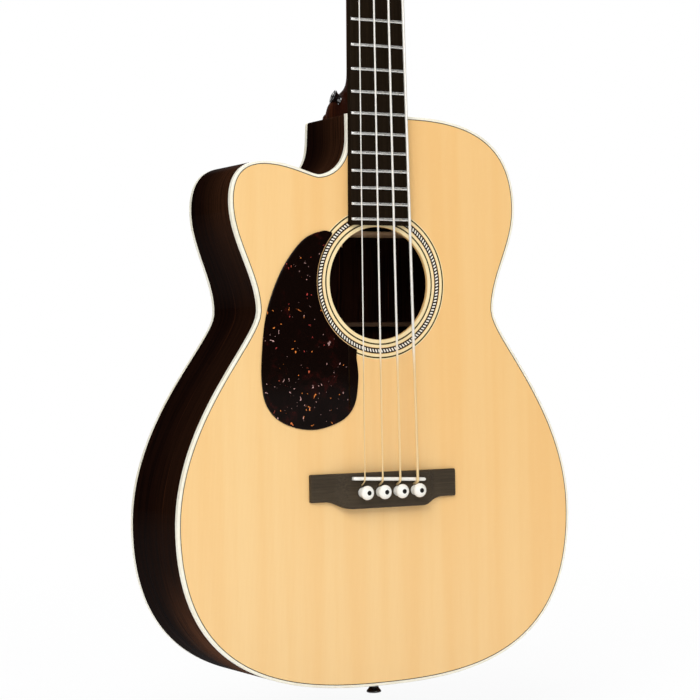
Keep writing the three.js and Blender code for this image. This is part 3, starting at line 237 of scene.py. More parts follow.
spruce = spruceFinish()
sideWood = rosewoodFinish("rosewoodSides", "along", 0.09, 0.68)
backWood = rosewoodFinish("rosewoodBack", lift=1.5)
veneerWood = rosewoodFinish("rosewoodVeneer", gloss=0.14, lift=1.6)
ivory = ivoryFinish()
blackLine, greyLine, creamLine, oliveLine, dashGround = (
    plainFinish(name, low, high, rough, coat=(coat, coat + 0.1), Specular_IOR_Level=mirror)
    for name, low, high, rough, coat, mirror in (
        ("blackPurfling", (0.006, 0.005, 0.004), (0.011, 0.009, 0.007), (0.3, 0.4), 0.1, 0.1),
        ("darkPurfling", (0.026, 0.019, 0.008), (0.045, 0.034, 0.014), (0.3, 0.4), 0.1, 0.5),
        ("creamInlay", (0.94, 0.765, 0.44), (0.92, 0.73, 0.39), (0.3, 0.4), 0.3, 0.5),
        ("oliveLines", (0.055, 0.036, 0.005), (0.040, 0.026, 0.004), (0.35, 0.45), 0.1, 0.1),
        ("dashGround", (0.022, 0.013, 0.006), (0.014, 0.008, 0.004), (0.3, 0.4), 0.1, 0.1)))
innerWood = woodFinish("innerSpruce", (0.86, 0.56, 0.33), (0.68, 0.40, 0.21), axis="X", pitch=500.0)
# painted shade: a darker copy of the inner wood, for the back braces that lie deep in the body
paintedShadeWood = woodFinish("innerWoodPaintedShade", (0.12, 0.068, 0.036), (0.08, 0.042, 0.022), axis="X", pitch=500.0)
blockWood = woodFinish("blockMahogany", (0.30, 0.13, 0.06), (0.20, 0.075, 0.035))
liningWood = woodFinish("liningCedar", (0.42, 0.22, 0.11), (0.30, 0.14, 0.07))
ebony = woodFinish("ebonyOiled", (0.030, 0.022, 0.015), (0.016, 0.012, 0.009), (0.38, 0.5), "Z", 900.0,
    (0.03, 0.08), 0.00004, 0.12)
bridgeWood = woodFinish("bridgeEbony", (0.066, 0.048, 0.029), (0.036, 0.026, 0.016), (0.42, 0.56), "X",
    900.0, (0.03, 0.06), 0.00005, 0.12)
capWood = woodFinish("capRosewood", (0.060, 0.015, 0.007), (0.026, 0.007, 0.004), (0.4, 0.5), "X", 700.0,
    (0.02, 0.05), 0.00003, 0.03)
boardWood = woodFinish("boardEbony", (0.017, 0.0105, 0.006), (0.009, 0.006, 0.0035), (0.36, 0.48), "Z",
    1000.0, (0.02, 0.04), 0.00004, 0.0)
pearl = plainFinish("pearlDashes", (0.97, 0.92, 0.82), (0.92, 0.86, 0.75), (0.2, 0.35), 900.0, (0.4, 0.6))
bone = plainFinish("whiteBone", (0.93, 0.915, 0.86), (0.89, 0.86, 0.78), (0.25, 0.38), 160.0, (0.3, 0.45),
    Coat_Roughness=0.1)
blackGloss = plainFinish("blackGloss", (0.004, 0.004, 0.004), (0.009, 0.008, 0.008), (0.10, 0.16), 120.0,
    (0.9, 1.0), 0.000003, Coat_Roughness=0.03, Coat_IOR=2.1, Specular_IOR_Level=0.2)
fretMetal = metalFinish("fretNickel", (0.86, 0.85, 0.82), (0.76, 0.75, 0.72), (0.2, 0.34),
    (120.0, 3000.0, 3000.0))
nickel = metalFinish("tunerNickel", (0.60, 0.59, 0.57), (0.46, 0.45, 0.435), (0.16, 0.3))
steel = metalFinish("darkSteel", (0.40, 0.40, 0.41), (0.30, 0.30, 0.31), (0.3, 0.45))
brass = metalFinish("brassBalls", (0.78, 0.58, 0.28), (0.66, 0.47, 0.2), (0.25, 0.4))
print("finishes made")


# Shapes
def portions(count):  # from 0 to 1
    return [k / count for k in range(count + 1)]


def spread(count):  # from -1 to 1
    return [2 * k / count - 1 for k in range(count + 1)]


def angles(count):  # once round, without the last
    return [2 * pi * k / count for k in range(count)]


def halfRound(wide, tall, steps):  # an arch as (across, up), from (wide, 0) to (-wide, 0)
    return [(wide * cos(t), tall * sin(t)) for t in (pi * k / steps for k in range(steps + 1))]


def quarter(radius, steps):  # a quarter round as (across, down), from (radius, 0) to (0, radius)
    return [(radius * (1 - sin(t)), radius * (1 - cos(t)))
        for t in (pi / 2 * k / steps for k in range(steps + 1))]


def easeBetween(value, low, high, start, end):
    t = min(max((value - low) / (high - low), 0.0), 1.0)
    return start + (end - start) * t * t * (3 - 2 * t)


def bezier(controls):
    a, b, c, d = (Vector(p) for p in controls)
    return [a * (1 - t) ** 3 + b * 3 * t * (1 - t) ** 2 + c * 3 * t * t * (1 - t) + d * t ** 3
        for t in portions(160)]


def rounded(one, here, two, steps):  # from one to two, bent towards here
    return [one * (1 - t) ** 2 + here * 2 * t * (1 - t) + two * t * t for t in portions(steps)]


def smoothed(places, perSpan):  # a curve through places
    spots = [Vector(p) for p in places]
    found = []
    for i in range(len(spots) - 1):
        a, b, c, d = spots[max(i - 1, 0)], spots[i], spots[i + 1], spots[min(i + 2, len(spots) - 1)]
        for t in portions(perSpan)[:-1]:
            found.append(0.5 * (2 * b + (c - a) * t + (2 * a - 5 * b + 4 * c - d) * t * t
                + (3 * b - a - 3 * c + d) * t ** 3))
    return found + [spots[-1]]


def evenly(path, count):  # the same path with equal steps
    reach = [0.0]
    for one, two in zip(path, path[1:]):
        reach.append(reach[-1] + (two - one).length)
    found, k = [], 0
    for i in range(count + 1):
        want = reach[-1] * i / count
        while k < len(path) - 2 and reach[k + 1] < want:
            k += 1
        share = (want - reach[k]) / max(reach[k + 1] - reach[k], 1e-9)
        found.append(path[k].lerp(path[k + 1], min(share, 1.0)))
    return found


def stepsOf(path):  # place, direction and distance run
    found, run = [], 0.0
    for i, spot in enumerate(path):
        along = (path[min(i + 1, len(path) - 1)] - path[max(i - 1, 0)]).normalized()
        run += (spot - path[i - 1]).length if i else 0.0
        found.append((spot, along, run))
    return found


def soften(corners, steps=4, closed=True):  # corners (a, b, radius) with the corners rounded off
    found = []
    for i, (a, b, radius) in enumerate(corners):
        here = Vector((a, b))
        if radius <= 0 or (not closed and i in (0, len(corners) - 1)):
            found.append(here)
            continue
        before = Vector(corners[i - 1][:2]) - here
        after = Vector(corners[(i + 1) % len(corners)][:2]) - here
        one, two = (here + side.normalized() * min(radius, side.length * 0.49) for side in (before, after))
        found += rounded(one, here, two, steps)
    return found


def loft(rings, loop=False, closed=True):
    size = len(rings[0])
    faces = []
    for r in range(len(rings) if loop else len(rings) - 1):
        low, high = r * size, ((r + 1) % len(rings)) * size
        for k in range(size if closed else size - 1):
            m = (k + 1) % size
            faces.append((low + k, low + m, high + m, high + k))
    if not loop:
        faces += [tuple(range(size))[::-1], tuple(range((len(rings) - 1) * size, len(rings) * size))]
    return [Vector(p) for ring in rings for p in ring], faces


def turned(profile, sides):  # a round piece about the Y axis
    rings = [[(radius * cos(turn), y, radius * sin(turn)) for radius, y in profile] for turn in angles(sides)]
    return loft(rings, loop=True, closed=False)


def spun(profile, sides):  # a turned piece with its corners rounded off
    corners = [(*p, 0.0) if len(p) == 2 else p for p in profile]
    return turned([(max(p.x, 0.0), p.y) for p in soften(corners, 3, closed=False)], sides)


def slab(outline, low, high, edge, steps):  # an outline in x and z, thick along y, with rounded edges
    if sum(a.x * b.y - b.x * a.y for a, b in zip(outline, outline[1:] + outline[:1])) < 0:
        outline = outline[::-1]  # so that its left side is inside
    layers = [(low + drop, pull) for pull, drop in quarter(edge, steps)]
    layers += [(high - (y - low), pull) for y, pull in reversed(layers)]
    sides = []
    for i, spot in enumerate(outline):
        lead = (spot - outline[i - 1]).normalized() + (outline[(i + 1) % len(outline)] - spot).normalized()
        sides.append(Vector((-lead.y, lead.x)).normalized())
    return loft([[(p.x, y, p.y) for p in (spot + side * pull for spot, side in zip(outline, sides))]
        for y, pull in layers])


def bar(half, y0, y1, z0, z1):  # a plain cutter
    ring = [(-half, y0), (half, y0), (half, y1), (-half, y1)]
    return loft([[(x, y, z) for x, y in ring] for z in (z0, z1)])


def drill(radius, low, high, sides=32):  # a round cutter
    return turned([(0, low), (radius, low), (radius, high), (0, high)], sides)


def placed(shape, matrix):
    points, faces = shape
    return [matrix @ p for p in points], faces


def together(*shapes):
    points, faces = [], []
    for more, skins in shapes:
        faces += [tuple(k + len(points) for k in face) for face in skins]
        points += more
    return points, faces


def skin(name, shape, carried=()):  # a closed mesh that faces outward
    points, faces = shape
    mesh = bpy.data.meshes.new(name)
    mesh.from_pydata([p * mm for p in points], [], faces)
    if carried:
        field = mesh.attributes.new("along", "FLOAT_VECTOR", "POINT")
        for spot, value in zip(field.data, carried):
            spot.vector = Vector(value) * mm
    made = bmesh.new()
    made.from_mesh(mesh)
    bmesh.ops.remove_doubles(made, verts=made.verts, dist=1e-7)
    bmesh.ops.recalc_face_normals(made, faces=made.faces)
    made.to_mesh(mesh)
    made.free()
    return mesh


def shown(name, mesh):
    thing = bpy.data.objects.new(name, mesh)
    bpy.context.scene.collection.objects.link(thing)
    return thing


def carved(shape, *cutters):  # one shape less others, worked out once with booleans
    made = [shown("blank", skin("blank", one)) for one in (shape, *cutters)]
    for cutter in made[1:]:
        step = made[0].modifiers.new("carve", "BOOLEAN")
        step.operation, step.solver, step.object = "DIFFERENCE", "EXACT", cutter
    ready = bpy.data.meshes.new_from_object(made[0].evaluated_get(bpy.context.evaluated_depsgraph_get()))
    found = [v.co / mm for v in ready.vertices], [tuple(face.vertices) for face in ready.polygons]
    for thing in made:
        bpy.data.objects.remove(thing)
    return found


def piece(name, shape, finish, stands=(), body="instrument", sharp=38.0, carried=(),
        moved=Matrix(), weighted=True):
    thing = shown(name, skin(name, placed(shape, moved), carried))
    thing.data.shade_smooth()
    thing.data.set_sharp_from_angle(angle=radians(sharp))
    if weighted:
        even = thing.modifiers.new("evenNormals", "WEIGHTED_NORMAL")
        even.keep_sharp = True
    thing.data.materials.append(finish.material)
    if stands:
        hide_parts(*stands)
    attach(thing, body)


def dress(finish, *names):  # a CAD piece keeps its shape and gets a finish
    for name in names:
        cadNodes[name].data.materials.clear()
        cadNodes[name].data.materials.append(finish.material)


# Body
body = Sizes(
    tail=-1053.515, length=513.4, holeHeight=361.5, holeRadius=50.8,
    lowerHalf=203.4, lowerHeight=150.0, waistHalf=122.3, waistHeight=337.0,
    upperHalf=147.7, upperHeight=431.9, shoulderHalf=31.0,
    tailReach=84.4, lowerDown=141.5, lowerUp=93.8, waistDown=25.1, waistUp=31.4,
    upperDown=34.3, upperUp=73.3, shoulderReach=52.4, boutSteps=(48, 34, 20), leastStep=0.4,
    topThick=3.0, backThick=2.8, sideThick=2.4, bindingWide=2.4, bindingTall=4.8, bindingRound=0.8,
    lineWide=0.75, lineDeep=0.6, neckHalf=11.8, graftHalf=6.0, graftGap=0.5,
    backMiddle=250.0,
    holeEdge=((0.9, 0.0), (0.45, 0.12), (0.12, 0.45), (0.0, 0.9)),
    backShares=(1.0, 0.9, 0.75, 0.6, 0.45, 0.3, 0.15, 0.0),
)
cutaway = Sizes(
    horn=(-112.1, 468.7), hornOut=16.0, hornIn=21.8, hornRise=31.4,
    valley=(-60.7, 458.0), valleyOut=5.5, valleyIn=7.7, edge=(-30.5, 493.7),
    edgeReach=30.5, corner=3.0,
)
backArch = Sizes(crown=114.0, slope=0.054, radius=4570.0)
b, c = body, cutaway


def backFace(x, h):
    rise = (x * x + (h - body.length / 2) ** 2) / (2 * backArch.radius)
    return backArch.crown - backArch.slope * h - rise


def ahead(distance):
    return lambda x, h: backFace(x, h) - distance


def bend(start, out, end, back, steps):  # out and back lead away from the two ends
    leads = [(p[0] + q[0], p[1] + q[1]) for p, q in ((start, out), (end, back))]
    return evenly(bezier((start, *leads, end)), steps)


def boutPaths(sign):
    low, waist, up = ((sign * half, height) for half, height in ((b.lowerHalf, b.lowerHeight),
        (b.waistHalf, b.waistHeight), (b.upperHalf, b.upperHeight)))
    bends = (((0, 0), (sign * b.tailReach, 0), low, (0, -b.lowerDown)),
        (low, (0, b.lowerUp), waist, (0, -b.waistDown)), (waist, (0, b.waistUp), up, (0, -b.upperDown)))
    return [bend(*ends, steps) for ends, steps in zip(bends, b.boutSteps)]


def chain(paths):
    return paths[0][:1] + [p for path in paths for p in path[1:]]


shoulder = bend((b.upperHalf, b.upperHeight), (0, b.upperUp), (b.shoulderHalf, b.length),
    (b.shoulderReach, 0), 36)
hornPath = bend((-b.upperHalf, b.upperHeight), (0, c.hornRise), c.horn, (-c.hornOut, 0), 24)
dipPath = bend(c.horn, (c.hornIn, 0), c.valley, (-c.valleyOut, 0), 12)
risePath = bend(c.valley, (c.valleyIn, 0), c.edge, (0, -c.edgeReach), 20)
bassFront = chain([*boutPaths(1), shoulder])
bassFull = bassFront + [Vector((b.neckHalf, b.length))]
trebleCut = chain([*boutPaths(-1), hornPath, dipPath, risePath])
trebleFront = trebleCut + [Vector((c.edge[0], b.length))]
cornerPath = rounded(Vector((c.edge[0], b.length - c.corner)), Vector((c.edge[0], b.length)),
    Vector((c.edge[0] + c.corner, b.length)), 6)
trebleFull = trebleCut + cornerPath + [Vector((-b.neckHalf, b.length))]


def inwardFrom(path, turn):  # place, inward direction and distance run
    return [(spot, Vector((-along.y, along.x)) * turn, run) for spot, along, run in stepsOf(path)]


frontStations = inwardFrom(bassFront[::-1] + trebleFront[1:], -1)
roundStations = inwardFrom(bassFull[::-1] + trebleFull[1:], -1)


def raised(path, y):  # y may follow the back
    return [(p.x, y(p.x, p.y) if callable(y) else y, p.y + body.tail) for p in path]


def band(stations, section, loop=False):  # section points are (inset, y)
    rings, carried = [], []
    for spot, inward, run in stations:
        rings.append([raised([spot + inward * depth], y)[0] for depth, y in section])
        carried += [(run, point[1], depth) for point, (depth, y) in zip(rings[-1], section)]
    return loft(rings, loop), carried


def spaced(points, closed):  # leaves out points that lie close to the one before
    return [p for i, p in enumerate(points)
        if (i == 0 and not closed) or (p - points[i - 1]).length > body.leastStep]


bow = quarter(b.bindingRound, 5)
w, t = b.bindingWide, b.bindingTall
shape, carried = band(frontStations, [(w, t), (w, 0.0), *bow, (0.0, t)])
piece("frontBinding", shape, ivory, ["top_binding"], carried=carried)
shape, carried = band(roundStations,
    [(w, ahead(t)), (w, ahead(0.0)), *((inset, ahead(drop)) for inset, drop in bow), (0.0, ahead(t))], True)
piece("backBinding", shape, ivory, ["back_binding"], carried=carried)
lineEnd = w + b.lineWide
shape, carried = band(frontStations, [(w, b.lineDeep), (w, 0.0), (lineEnd, 0.0), (lineEnd, b.lineDeep)])
piece("frontPurfling", shape, greyLine, carried=carried)

for name, node, path, sign in (("sideBassShell", "side_bass", bassFull, 1),
        ("sideTrebleShell", "side_treble", trebleFull, -1)):  # each starts at the end graft
    kept = [Vector((sign * b.graftHalf, 0.0))]
    kept += [p for p in path if abs(p.x) > b.graftHalf + b.graftGap or p.y > b.lowerHeight]
    shape, carried = band(inwardFrom(kept, sign),
        [(0.0, t), (0.0, ahead(t)), (b.sideThick, ahead(t)), (b.sideThick, t)])
    piece(name, shape, sideWood, [node], carried=carried)

# soundboard: from the purfling to the soundhole
holeSpot = Vector((0.0, b.holeHeight))
boardEdge = spaced([spot + inward * lineEnd for spot, inward, run in frontStations], False)
boardEdge += [boardEdge[-1].lerp(boardEdge[0], share) for share in portions(8)[1:-1]]
aims = [(p - holeSpot).normalized() for p in boardEdge]
rings = [raised([holeSpot + aim * (b.holeRadius + proud) for aim in aims], y)
    for proud, y in (*b.holeEdge, (0.0, b.topThick))]
rings = [raised(boardEdge, 0.0), *rings, raised(boardEdge, b.topThick)]
piece("soundboardPlate", loft(rings, loop=True), spruce, ["soundboard"])

# arched back
backMiddle = Vector((0.0, b.backMiddle))
plateEdge = spaced([spot + inward * w for spot, inward, run in roundStations[:-1]], True)
spans = [[backMiddle.lerp(p, share) for p in plateEdge] for share in b.backShares]
rings = [raised(span, backFace) for span in spans]
rings += [raised(span, ahead(b.backThick)) for span in reversed(spans)]
piece("backPlateOuter", loft(rings), backWood, ["back_plate"])

dress(innerWood, "x_brace_one", "x_brace_two", "tone_bar_upper", "tone_bar_lower", "upper_transverse_brace",
    "back_brace_upper", "back_center_strip")
# the back braces deep in the body get the painted shade
dress(paintedShadeWood, "back_brace_lower", "back_brace_second", "back_brace_third")
dress(blockWood, "neck_block", "tail_block")
dress(liningWood, "top_lining_bass", "top_lining_treble", "back_lining_bass", "back_lining_treble")
dress(ebony, "bridge_plate", "end_graft")
print("body made")


# Rosette: rings let into the soundboard
rosette = Sizes(
    proud=0.05, deep=0.5, sides=144,
    cream=((51.1, 54.25), (55.6, 58.0), (64.0, 66.4), (67.7, 68.4)),
    dark=((54.25, 55.6), (66.4, 67.7)), middle=(58.4, 63.5), border=1.2,
    dashes=132, dashShare=0.5, lean=0.018, dashProud=0.07,
)
atHole = Matrix.Translation((0.0, 0.0, body.tail + body.holeHeight))


def ringShapes(rings):
    low, high = -rosette.proud, rosette.deep
    return placed(together(*(
        turned([(inner, low), (outer, low), (outer, high), (inner, high), (inner, low)], rosette.sides)
        for inner, outer in rings)), atHole)


def dashShapes():
    r = rosette
    inner, outer = r.middle[0] + r.border, r.middle[1] - r.border
    wide = 2 * pi / r.dashes * r.dashShare
    found = []
    for start in angles(r.dashes):
        corners = [(inner, start), (outer, start + r.lean), (outer, start + r.lean + wide),
            (inner, start + wide)]
        found.append(loft([[(radius * cos(turn), y, radius * sin(turn)) for radius, turn in corners]
            for y in (-r.dashProud, 0.0)]))
    return placed(together(*found), atHole)


for name, rings, finish, stands in (
        ("InnerRing", rosette.cream[:2], creamLine, ["rosette_inner_ring"]),
        ("OuterRing", rosette.cream[2:], creamLine, ["rosette_outer_ring"]),
        ("Lines", rosette.dark, oliveLine, []),
        ("MiddleRing", [rosette.middle], dashGround, ["rosette_middle_ring"])):
    piece("rosette" + name, ringShapes(rings), finish, stands)
piece("rosetteDashes", dashShapes(), pearl)
print("rosette made")


# Pickguard: mottled dark sheet with a rounded edge
def guardFinish():
    look = Sizes(base=(0.0042, 0.0016, 0.0010), wine=(0.022, 0.0030, 0.0022), red=(0.42, 0.050, 0.045),
        orange=(0.82, 0.25, 0.05), pale=(0.60, 0.36, 0.33), drift=0.022,
        flecks=(((1.0, 1.0, 0.22), 190.0, 0.13, 0.74), ((0.30, 1.0, 1.0), 165.0, 0.11, 0.77),
            ((1.0, 1.0, 0.6), 270.0, 0.19, 0.77), ((0.8, 1.0, 0.5), 130.0, 0.10, 0.68)),
        dust=((1.0, 1.0, 1.0), 330.0, 0.16, 0.9))
    made = Finish("mottledSheet", Coat_Roughness=0.06, Coat_IOR=1.45, Specular_IOR_Level=0.0)
    place = made.place()
    low = made.parts(place, 2).ease(-0.70, -0.81)  # more flecks towards the lower end
    sway = made.node("TexNoise", None, {"Vector": place, "Scale": 70.0, "Detail": 3.0}, "Color")
    lost = made.node("VectorMath", {"operation": "MULTIPLY_ADD"}, {0: sway, 1: (look.drift,) * 3, 2: place})
    bunch = made.noise(place, 38.0, 1.0).ease(0.35, 0.65, -0.16, 0.1)  # flecks come in bunches

    def flecks(spread, scale, size, chance):  # where they are, and a number for each
        spots = made.stretch(lost, *spread)
        pick = made.cells(spots, scale, "Color")
        there = (made.parts(pick, 0) + low * 0.14 + bunch).ease(chance, chance + 0.03)
        return made.cells(spots, scale).ease(size, size * 0.7) * there, made.parts(pick, 1)

    cloud = made.noise(lost, 60.0, 4.0, 0.6)
    tone = made.blend((cloud + low * 0.04).ease(0.56, 0.76), look.base, look.wine)
    for sort in look.flecks:
        where, kind = flecks(*sort)
        hue = made.blend((kind + low * 0.3).ease(0.66, 0.86), look.red, look.orange)
        tone = made.blend(where, tone, made.blend(kind.ease(0.42, 0.34), hue, look.pale))
    tone = made.blend(flecks(*look.dust)[0] * 0.6, tone, look.pale)
    return made.surface(Base_Color=tone, Roughness=cloud.ease(0.3, 0.7, 0.2, 0.28),
        Coat_Weight=cloud.ease(0.2, 0.8, 0.38, 0.5), Normal=made.relief(cloud, 0.00002, 0.4))


guard = Sizes(
    thick=1.5, radius=64.4, edge=0.7, perSpan=7, arcSteps=60,
    places=((-48, 45), (-58, 46.3), (-77, 38.5), (-95.6, 17.5), (-109, -8.5), (-117, -35.5), (-120.7, -68.5),
        (-120.7, -88.5), (-117.8, -104.5), (-109.6, -116.8), (-97.6, -124.5), (-82.3, -129),
        (-65.4, -129.7), (-48.2, -125.4), (-35.5, -118.5), (-27.3, -106.6), (-24.2, -89), (-24, -78.1),
        (-25.5, -67.1)),
)


def guardOutline():
    places = smoothed(guard.places, guard.perSpan)
    start, end = (atan2(p.y, p.x) for p in (places[-1], places[0]))
    reach = end - 2 * pi - start
    arc = [Vector((cos(t), sin(t))) * guard.radius
        for t in (start + reach * k / guard.arcSteps for k in range(1, guard.arcSteps))]
    return [p + Vector((0.0, body.tail + body.holeHeight)) for p in places + arc]


piece("pickguardSheet", slab(guardOutline(), -guard.thick, 0.0, guard.edge, 4), guardFinish(),
    ["pickguard"])
print("pickguard made")


# Bridge, saddle and pins; their own heights run from the scale line, y from the soundboard
bridge = Sizes(
    line=-863.6, half=75.5, above=2.0, wing=22.8, belly=29.7, bellyHalf=36.0, bellyRun=24.0,
    height=10.2, wingHeight=4.6, tipHeight=3.8, slopeFrom=39.0, slopeTo=53.0, edge=1.3, stations=120,
    pinBelow=15.2, pinHole=3.4, sink=4.9, sinkDeep=1.2, sinkFlare=6.0, rampEnd=7.6, rampFloor=5.0,
    rampPlay=0.35, beyond=20.0,
)
saddle = Sizes(
    length=75.0, width=3.2, shift=4.15, slant=0.047, crest=14.4, seat=4.8, drop=0.4, stations=48,
    end=1.2, endPinch=0.35, endDrop=0.8, round=1.3, slotFloor=4.6, slotPlay=0.1,
)
stringLines = [Sizes(zip(("name", "place", "nutPlace", "radius", "post", "up"), row)) for row in (
    ("string_e", 27.2, 17.5, 1.27, "bass_low", 50.0), ("string_a", 9.06, 5.83, 1.02, "bass_high", 122.0),
    ("string_d", -9.06, -5.83, 0.83, "treble_high", 122.0),
    ("string_g", -27.2, -17.5, 0.57, "treble_low", 50.0))]
atLine = Matrix.Translation((0.0, 0.0, bridge.line))
saddleTurn = Matrix.Translation((0, 0, -saddle.shift)) @ Matrix.Rotation(atan(saddle.slant), 4, "Y")


def bridgeShape():
    b = bridge
    rings = []
    for share in spread(b.stations):
        far = abs(b.half * share)
        height = easeBetween(far, b.slopeFrom, b.slopeTo, b.height, b.wingHeight) \
            + (b.tipHeight - b.wingHeight) * max(far - b.slopeTo, 0) / (b.half - b.slopeTo)
        low = easeBetween(far, b.bellyHalf, b.bellyHalf + b.bellyRun, b.belly, b.wing)
        tip = b.edge if abs(share) == 1 else 0.0
        front, foot = b.above - tip * 0.5, tip * 0.5 - low
        section = soften([(front, 0.0, 0.0), (front, tip - height, b.edge), (foot, tip - height, b.edge),
            (foot, 0.0, 0.0)])
        rings.append([(b.half * share, p.y, p.x) for p in section])
    slotHalf = saddle.width / 2 + saddle.slotPlay
    slot = bar(saddle.length / 2 + saddle.slotPlay, -b.beyond, -saddle.slotFloor, -slotHalf, slotHalf)
    cutters = [placed(slot, saddleTurn)]
    for line in stringLines:
        hole = turned([(0, -b.beyond), (b.sink + b.sinkFlare, -b.beyond), (b.sink, -b.height),
            (b.pinHole, -b.height + b.sinkDeep), (b.pinHole, 1), (0, 1)], 32)
        ramp = bar(line.radius + b.rampPlay, -b.beyond, -b.rampFloor, 0, b.rampEnd)
        cutters += [placed(one, Matrix.Translation((line.place, 0.0, -b.pinBelow))) for one in (hole, ramp)]
    return carved(placed(loft(rings), atLine), *(placed(one, atLine) for one in cutters))


def saddleShape():
    s = saddle
    rings = []
    for share in portions(s.stations):
        x = s.length * (share - 0.5)
        tip = max(0.0, abs(x) - s.length / 2 + s.end) / s.end
        half = s.width / 2 * (1 - s.endPinch * tip ** 2)
        level = s.round - s.crest + s.drop * (2 * x / s.length) ** 2 + s.endDrop * tip ** 2
        arch = [(z, level - up) for z, up in halfRound(half, s.round, 10)]
        rings.append([(x, y, z) for z, y in [(half, -s.seat), *arch, (-half, -s.seat)]])
    return placed(loft(rings), atLine @ saddleTurn)


piece("bridgeBody", bridgeShape(), bridgeWood, ["bridge"], sharp=30.0)
piece("saddleBar", saddleShape(), bone, ["saddle"], sharp=50.0)

pin = Sizes(
    profile=((0, 25.0), (2.3, 25.0, 0.6), (3.0, 0.0), (3.3, -0.1), (4.6, -0.1, 0.8), (4.7, -3.5, 1.4),
        (4.1, -5.2, 0.9), (6.35, -7.4, 1.8), (6.35, -10.5, 2.2), (3.4, -12.6, 1.8), (0, -12.8)),
    dot=((0, -12.2), (2.1, -12.2), (2.1, -12.86, 0.12), (0, -12.98)),
    grooveTop=-0.3, grooveEnd=30.0, grooveFrom=1.7, grooveTo=10.0, groovePlay=0.3, sides=48,
)
for i, line in enumerate(stringLines):
    here = Matrix.Translation((line.place, -bridge.height, bridge.line - bridge.pinBelow))
    groove = bar(line.radius + pin.groovePlay, pin.grooveTop, pin.grooveEnd, pin.grooveFrom, pin.grooveTo)
    piece(f"pinBody{i + 1}", carved(spun(pin.profile, pin.sides), groove), bone,
        [f"bridge_pin_{i + 1}"], f"pin_{i + 1}", moved=here)
    piece(f"pinDot{i + 1}", spun(pin.dot, pin.sides), blackLine, body=f"pin_{i + 1}",
        moved=here)
print("bridge made")


# Neck in one skin from the body to the headstock's top
neck = Sizes(
    join=-540.115, nutHalf=21.2, joinHalf=28.4, thin=19.6, heelDepth=76.5,
    heel=((0.3, 1, 1), (3, 1, 1), (6, 0.997, 0.995), (11, 0.98, 0.975), (16, 0.935, 0.93), (19.5, 0.85, 0.85),
        (22, 0.72, 0.72), (24.5, 0.56, 0.53), (27.5, 0.445, 0.36), (31.5, 0.36, 0.2), (37, 0.31, 0.08),
        (45, 0.285, 0)),
    heelTaper=(0.57, 0.95), heelRound=(0.06, 12), keel=0.008, perSpan=4, spans=25, across=14, bow=1.8,
    fill=1.9,
    channelHalf=3.3, channelDeep=11.8, channelEnd=-20.0, beyond=5.0,
)
head = Sizes(
    tilt=0.21, thick=15.0, length=190.0, shoulder=26.0, shoulderHalf=34.0, topHalf=37.0,
    corner=9.0, veneer=1.9, veneerStart=7.0, veneerEdge=0.35, veneerSunk=0.05, bendShare=0.6,
    blendEnd=34.0, edge=1.6,
    rows=((1.5, 3.0, 12), (40.0, 7.05, 21)), postHole=5.6,
)
tuner = Sizes(
    postX=21.0, postRadius=5.0, postTop=21.0, slot=1.6, slotDeep=7.0, gear=10.5, gearRoot=8.9,
    teeth=20, gearThick=6.0, worm=3.6, wormRoot=2.7, wormLong=12.0, shaft=2.5, plate=2.3,
    half=13.0, ear=2.5, reach=25.0, paddle=12.0, paddleThick=4.0,
    wormY=21.5, wormUp=14.6, back=15.0,
)
headTurn = Matrix.Rotation(-head.tilt, 4, "X")
postSpots = [Matrix.Translation((copysign(tuner.postX, line.place), 0.0, line.up)) for line in stringLines]
downShares = [sin(pi / 2 * k / neck.across) for k in range(neck.across + 1)]
roundShares = [max(1 - v ** neck.fill, 0.0) ** (1 / neck.bow) for v in downShares]
heelShares = [1 - neck.heelTaper[0] * v ** neck.heelTaper[1] - neck.heelRound[0] * v ** neck.heelRound[1]
    for v in downShares]


def neckRing(z, depth, heelShare):
    half = neck.nutHalf + (neck.joinHalf - neck.nutHalf) * z / neck.join
    left = [(-half * (r * (1 - heelShare) + h * heelShare), v * depth, z)
        for r, h, v in zip(roundShares, heelShares, downShares)]
    return left + [(0.0, depth * (1 + neck.keel * heelShare), z)] + [(-x, y, z) for x, y, z in reversed(left)]


def headHalf(up):  # half the headstock's width above the nut
    h = head
    start, top = h.shoulder + h.corner, h.length - h.corner
    if up < start:
        curve = bezier(((neck.nutHalf, 0), (neck.nutHalf, h.shoulder * h.bendShare),
            (h.shoulderHalf, h.shoulder * h.bendShare), (h.shoulderHalf, start)))
        return next(p.x for p in curve if p.y >= up - 1e-6)
    if up <= top:
        return h.shoulderHalf + (h.topHalf - h.shoulderHalf) * (up - start) / (top - start)
    t = (up - top) / h.corner
    return h.topHalf - h.corner * (1 - sqrt(max(1 - t * t, 0.0)))


def headRing(up):  # a neck section at the nut that turns into a plank
    flat = easeBetween(up, 0.0, head.blendEnd, 0.0, 1.0)
    depth = neck.thin + (head.thick - neck.thin) * flat
    half = headHalf(up)
    e = head.edge / half
    left = []
    for r, v in zip(roundShares, downShares):
        plank = 1.0 if v < 1 - e else 1 - e * (1 - sqrt(max(1 - ((v - 1 + e) / e) ** 2, 0.0)))
        left.append((-half * (r * (1 - flat) + plank * flat), v * depth, up))
    ring = left + [(0.0, depth, up)] + [(-x, y, z) for x, y, z in reversed(left)]
    return [headTurn @ Vector(p) for p in ring]


def cornerUps(first, steps):  # heights round the headstock's top corner
    return [head.length - head.corner * (1 - sin(pi / 2 * k / steps)) for k in range(first, steps + 1)]


